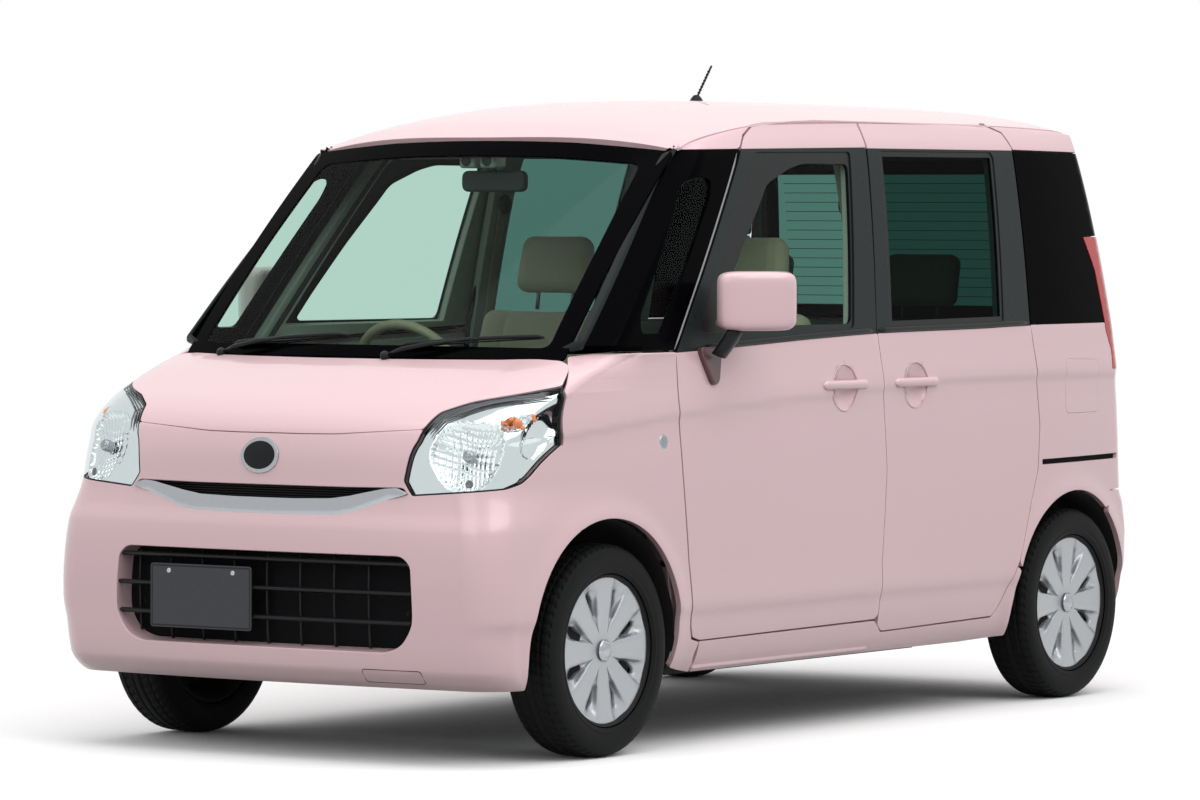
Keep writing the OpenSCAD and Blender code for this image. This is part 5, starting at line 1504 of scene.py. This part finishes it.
knob("rear_wiper_pivot", on_back(4, 1117, 0)[()], (-1, 0, 0.1), [(0.1, 26), (12, 25), (18, 18), (20, 0)],
     "black", "tailgate", 32)
w = np.linspace(-150, 150, 13)
sweep("high_stop_lamp", on_back(w, 1622, 1), 16, 5, (-1, 0, 0), "red", "tailgate", 8)
strip = both_sides([(0, 1674), (425, 1671), (425, 1690), (0, 1712)])
panel("hatch_header", rear, rounded(strip, 3, 3), "paint", "body", off=-4, lip=14, step=14)
for s, tag in ((1, "_left"), (-1, "_right")):
    z = np.linspace(0, 1, 12)
    # The reflectors are in lamp red and glow faintly with its painted glow.
    sweep("rear_reflector" + tag, on_back(s * (560 + 70 * z), 300 + 0 * z, 1.5), 34, 4, (-1, 0, 0), "red",
          "body", 8)
    zz = np.linspace(990, 1085, 8)
    sweep("reverse_lamp" + tag, on_back(s * (seam_w(zz, 116)[:, 0]), zz, 3), 24, 5, (-1, s * 0.5, 0), "clear",
          "body", 8)
    zz = np.linspace(1120, 1330, 14)
    for k, d in enumerate((120, 108, 96)):
        sweep("tail_lamp_fin_%d%s" % (k, tag), on_back(s * seam_w(zz, d)[:, 0], zz, 2), 3, 3.2,
              (-1, s * 0.6, 0), "red", "body", 4)
y = side_y(np.array([-1322.0]), np.array([915.0]))[0]
disc = rounded([(-1400, 860), (-1245, 860), (-1245, 972), (-1400, 972)], 40, 6)
panel("filler_bowl", flank, disc, "under", "body", off=-22, lip=0, step=30)
panel("filler_bowl_rim", flank, rounded(inset(FUEL, 3), 10), "paint", "body", off=-5, lip=20, step=24,
      holes=[disc], hole=(2, 18))
knob("filler_cap", (-1322, y - 22, 915), (0, 1, 0), [(0.1, 14), (26, 13), (31, 10), (33, 0)], "black", "body",
     40)
block("filler_grip", box_outline(-1344, -1300, 910, 920, 4), y - 12, y - 4, "xz", "trim", "body", 2)

# ---- Linings and shuts: inside faces of the lids, door openings, arch liners and the engine
# bay, with the running gear finished in steel and satin black.
windows = ([(-420, 1010), (-60, 1020), (-60, 880), (-440, 870)],
           [(60, 1020), (420, 1010), (440, 870), (60, 880)])
panel("hood_inner", nose, inset(rounded(both_sides(hood_half), 8, 3), 20), "paint", "hood", sign=-1, off=9,
      lip=6, step=24, holes=[rounded(p, 20) for p in windows])
panel("hood_inner_web", nose, inset(rounded(both_sides(hood_half), 8, 3), 26), "under", "hood", sign=-1,
      off=4, lip=0, step=40)
gate_in = inset(rounded(gate_o, 8, 3), 20)
panel("tailgate_lining", rear, gate_in, "liner", "tailgate", sign=1, off=30, lip=24, edge=5, step=26,
      holes=[inset(gw_o, -14)])
for s, tag in SIDES:
    ring = resample(inset(fd, 20), 30)
    tube("door_seal_" + tag, (flank(ring[:, 0], ring[:, 1]) - [0, 54, 0]) * [1, s, 1], 7, "trim", "body", 8,
         True)
    block("sill_step_" + tag, rounded([(-190, 200), (700, 200), (706, 268), (-190, 268)], 10, 4),
          *across(s, 622, 690), "xz", "paint", "body", 8)
    block("front_jamb_" + tag, rounded([(712, 268), (752, 310), (786, 500), (814, 712), (830, 920),
                                        (826, 1034), (880, 1034), (880, 700), (790, 268)], 8, 3),
          *across(s, 640, 700), "xz", "paint", "body", 6)
    o = rounded([(-310, 290), (-170, 290), (-196, 1092), (-206, 1640), (-286, 1640), (-250, 1092)], 12, 4)
    panel("centre_pillar_" + tag, flank, o, "paint", "body", sign=-1, off=-50, lip=14, step=24, mirror=s < 0)
    for k, z in enumerate((480, 860)):
        block("door_hinge_%d_%s" % (k, tag), box_outline(792, 838, z, z + 56, 6), *across(s, 676, 706), "xz",
              "steel", "body", 4)
    knob("door_striker_" + tag, (-212, s * 676, 780), (0, s, 0),
         [(0.1, 10), (6, 10), (9, 8), (9, 3), (18, 2), (20, 0)], "steel", "body", 24)
    for nm, cx, cz, r, a0, a1, y0 in (("front", 1160, 280, 343, -12, 192, 424),
                                      ("rear", -1270, 272, 338, -10, 186, 548)):
        a = np.radians(np.linspace(a0, a1, 60))
        P, F, rows = [], [], [(y0, 0.72), (y0, 0.85), (y0 + 14, 0.98),
                              (y0 + 40, 1.0)] + [(y, 1) for y in np.linspace(y0 + 60, 712, 7)]
        for yq, k in rows:
            xq, zq = cx + r * k * np.cos(a), cz + r * k * np.sin(a)
            P.append(np.stack([xq, np.minimum(yq + 2 * np.sin(a * 18) * (k == 1), side_y(xq, zq) - 12), zq],
                              1))
        P = np.concatenate(P) * [1, s, 1]
        F = [[i * 60 + j, i * 60 + j + 1, (i + 1) * 60 + j + 1,
              (i + 1) * 60 + j] for i in range(len(rows) - 1) for j in range(59)]
        finish_mesh("%s_arch_liner_%s" % (nm, tag), P, F if s < 0 else [f[::-1] for f in F], "under", "body")
    h = np.linspace(0, 6.5 * 2 * np.pi, 150)
    tube("front_spring_" + tag, np.stack([1136 + 62 * np.cos(h), s * (488 + 0 * h) + 62 * np.sin(h),
                                          640 + 210 * h / h[-1]], 1), 6, "steel", "body", 8)
    h = np.linspace(0, 5 * 2 * np.pi, 110)
    tube("rear_spring_" + tag, np.stack([AX_R + 60 + 50 * np.cos(h), s * 372 + 50 * np.sin(h),
                                         292 + 120 * h / h[-1]], 1), 6, "steel", "body", 8)
block("engine_cover", rounded([(1150, 700), (1470, 700), (1450, 742), (1180, 746)], 14, 5), -250, 190, "xz",
      "trim", "body", 16)
for k in range(6):
    block("engine_cover_rib_%d" % k, box_outline(1200, 1430, 740, 752, 5), -210 + k * 70, -190 + k * 70, "xz",
          "trim", "body", 4)
block("engine_casting", rounded([(1112, 330), (1512, 330), (1512, 560), (1470, 700), (1150, 710),
                                 (1112, 640)], 24, 5), -300, 240, "xz", "alloy", "body", 14, ["engine_block"])
block("battery_case", box_outline(1180, 1380, 560, 760, 8), 262, 384, "xz", "under", "body", 5)
# The positive post cap is in lamp red, with its faint painted glow.
for k in (0, 1):
    knob("battery_post_%d" % k, (1210 + 140 * k, 320, 760), (0, 0, 1),
         [(0.1, 16), (8, 16), (10, 12), (16, 8), (17, 0)], "red" if k else "steel", "body", 20)
block("air_box", rounded([(1180, 600), (1400, 600), (1390, 770), (1200, 780)], 20, 5), -385, -262, "xz",
      "trim", "body", 14)
tube("intake_hose", [(1300, -290, 760), (1300, -230, 790), (1320, -140, 790), (1360, -60, 770),
                     (1380, 0, 745)], 30, "trim", "body", 20)
knob("oil_cap", (1260, 120, 745), (0, 0, 1), [(0.1, 22), (18, 21), (22, 16), (24, 0)], "black", "body", 24)
block("radiator_core", box_outline(1542, 1582, 440, 800, 8), -320, 320, "xz", "alloy", "body", 5)
knob("radiator_cap", (1562, -200, 800), (0, 0, 1), [(0.1, 18), (16, 17), (20, 10), (20, 0)], "steel", "body",
     24)
tube("washer_neck", [(1480, 470, 700), (1480, 480, 760), (1470, 480, 800)], 20, "trim", "body", 16)
knob("washer_cap", (1468, 480, 800), (0, 0, 1), [(0.1, 12), (22, 11), (26, 4), (26, 0)], "black", "body", 24)
FINISH = {"floor_pan": "under", "front_structure": "under", "front_suspension": "steel", "rear_axle": "steel",
          "exhaust": "steel", "knuckle_left": "alloy", "knuckle_right": "alloy"}
for n, k in FINISH.items():
    o = bpy.data.objects[n]
    if not o.material_slots:
        o.data.materials.append(M[k])
    for sl in o.material_slots:
        sl.material = M[k]

# ---- Studio: white floor and backdrop, one large soft lamp above, one at the left side and a
# weak one in front, and the camera low at the front left corner.
scene = bpy.context.scene
LENS, DISTANCE, AIM = 177.54, 16.693, Vector((0, 0, 0.85))
cam = bpy.data.cameras.new("camera")
cam.lens, cam.sensor_width, cam.clip_end = LENS, 36, 200
cam.shift_x, cam.shift_y = -0.0209, 0.0116
eye = bpy.data.objects.new("camera", cam)
scene.collection.objects.link(eye)
yaw, pitch, roll = map(math.radians, (33.98, 1.88, 0.2))
ahead = Vector((-math.cos(yaw) * math.cos(pitch), -math.sin(yaw) * math.cos(pitch), -math.sin(pitch)))
right = ahead.cross(Vector((0, 0, 1))).normalized()
up = right.cross(ahead)
axes = (right * math.cos(roll) + up * math.sin(roll), up * math.cos(roll) - right * math.sin(roll), -ahead)
eye.matrix_world = Matrix.Translation(AIM - ahead * DISTANCE) @ Matrix(axes).transposed().to_4x4()
scene.camera = eye
scene.view_settings.view_transform = "Standard"


def seen(m):
    """1 for the rays that show the background: camera, mirror and glass."""
    return (m.add("ShaderNodeLightPath") + m.add("ShaderNodeLightPath", out=3)
            + m.add("ShaderNodeLightPath", out=6)).clip()


sky = Mat("studio", bpy.data.worlds, "ShaderNodeOutputWorld")
height = sky.add("ShaderNodeSeparateXYZ", {}, {0: sky.add("ShaderNodeTexCoord")}, out=2) * 0.5 + 0.5
grey = sky.add("ShaderNodeValToRGB", {"stops": ((0, 0.20), (1, 1.0), (0.47, 0.38), (0.50, 0.66), (0.56, 0.86),
                                                (0.70, 0.92))}, {0: height})
lit = sky.add("ShaderNodeBackground", {}, {0: grey, 1: 1.0})
white = sky.add("ShaderNodeBackground", {}, {0: (1, 1, 1, 1), 1: 1.0})
sky.done(sky.add("ShaderNodeMixShader", {}, {0: seen(sky), 1: lit, 2: white}))
scene.world = sky.m
for name, spot, size, watts in (("top", (0.9, 1.2, 6.2), (8, 5), 145), ("side", (1.8, 5.8, 5.2), (6, 3), 118),
                                ("fill", (7.0, 0.5, 4.0), (4, 3), 45)):
    lamp_data = bpy.data.lights.new(name, "AREA")
    lamp_data.shape, lamp_data.size, lamp_data.size_y, lamp_data.energy = "RECTANGLE", *size, watts
    o = bpy.data.objects.new(name, lamp_data)
    o.location = spot
    o.rotation_euler = (Vector((0, 0, 0.8)) - Vector(spot)).to_track_quat("-Z", "Y").to_euler()
    scene.collection.objects.link(o)
bpy.ops.mesh.primitive_plane_add(size=60, location=(0, 0, -0.0005))
floor = bpy.context.object
floor.name = "floor"
m = Mat("floor")
shade = m.mix(seen(m), (0.12, 0.12, 0.12), (0.97, 0.97, 0.97))
near_by = m.principled(m.mix(m.noise(0.5) * 0.05, shade, (0.9, 0.9, 0.9)), 0.9, Specular_IOR_Level=0.0)
x, y, z = m.xyz()
far_off = (x * x + y * y).ramp(9.0, 60.0) * seen(m)
white = m.add("ShaderNodeEmission", {}, {"Color": (1, 1, 1, 1), "Strength": 1.0})
floor.data.materials.append(m.done(m.add("ShaderNodeMixShader", {}, {0: far_off, 1: near_by, 2: white})))
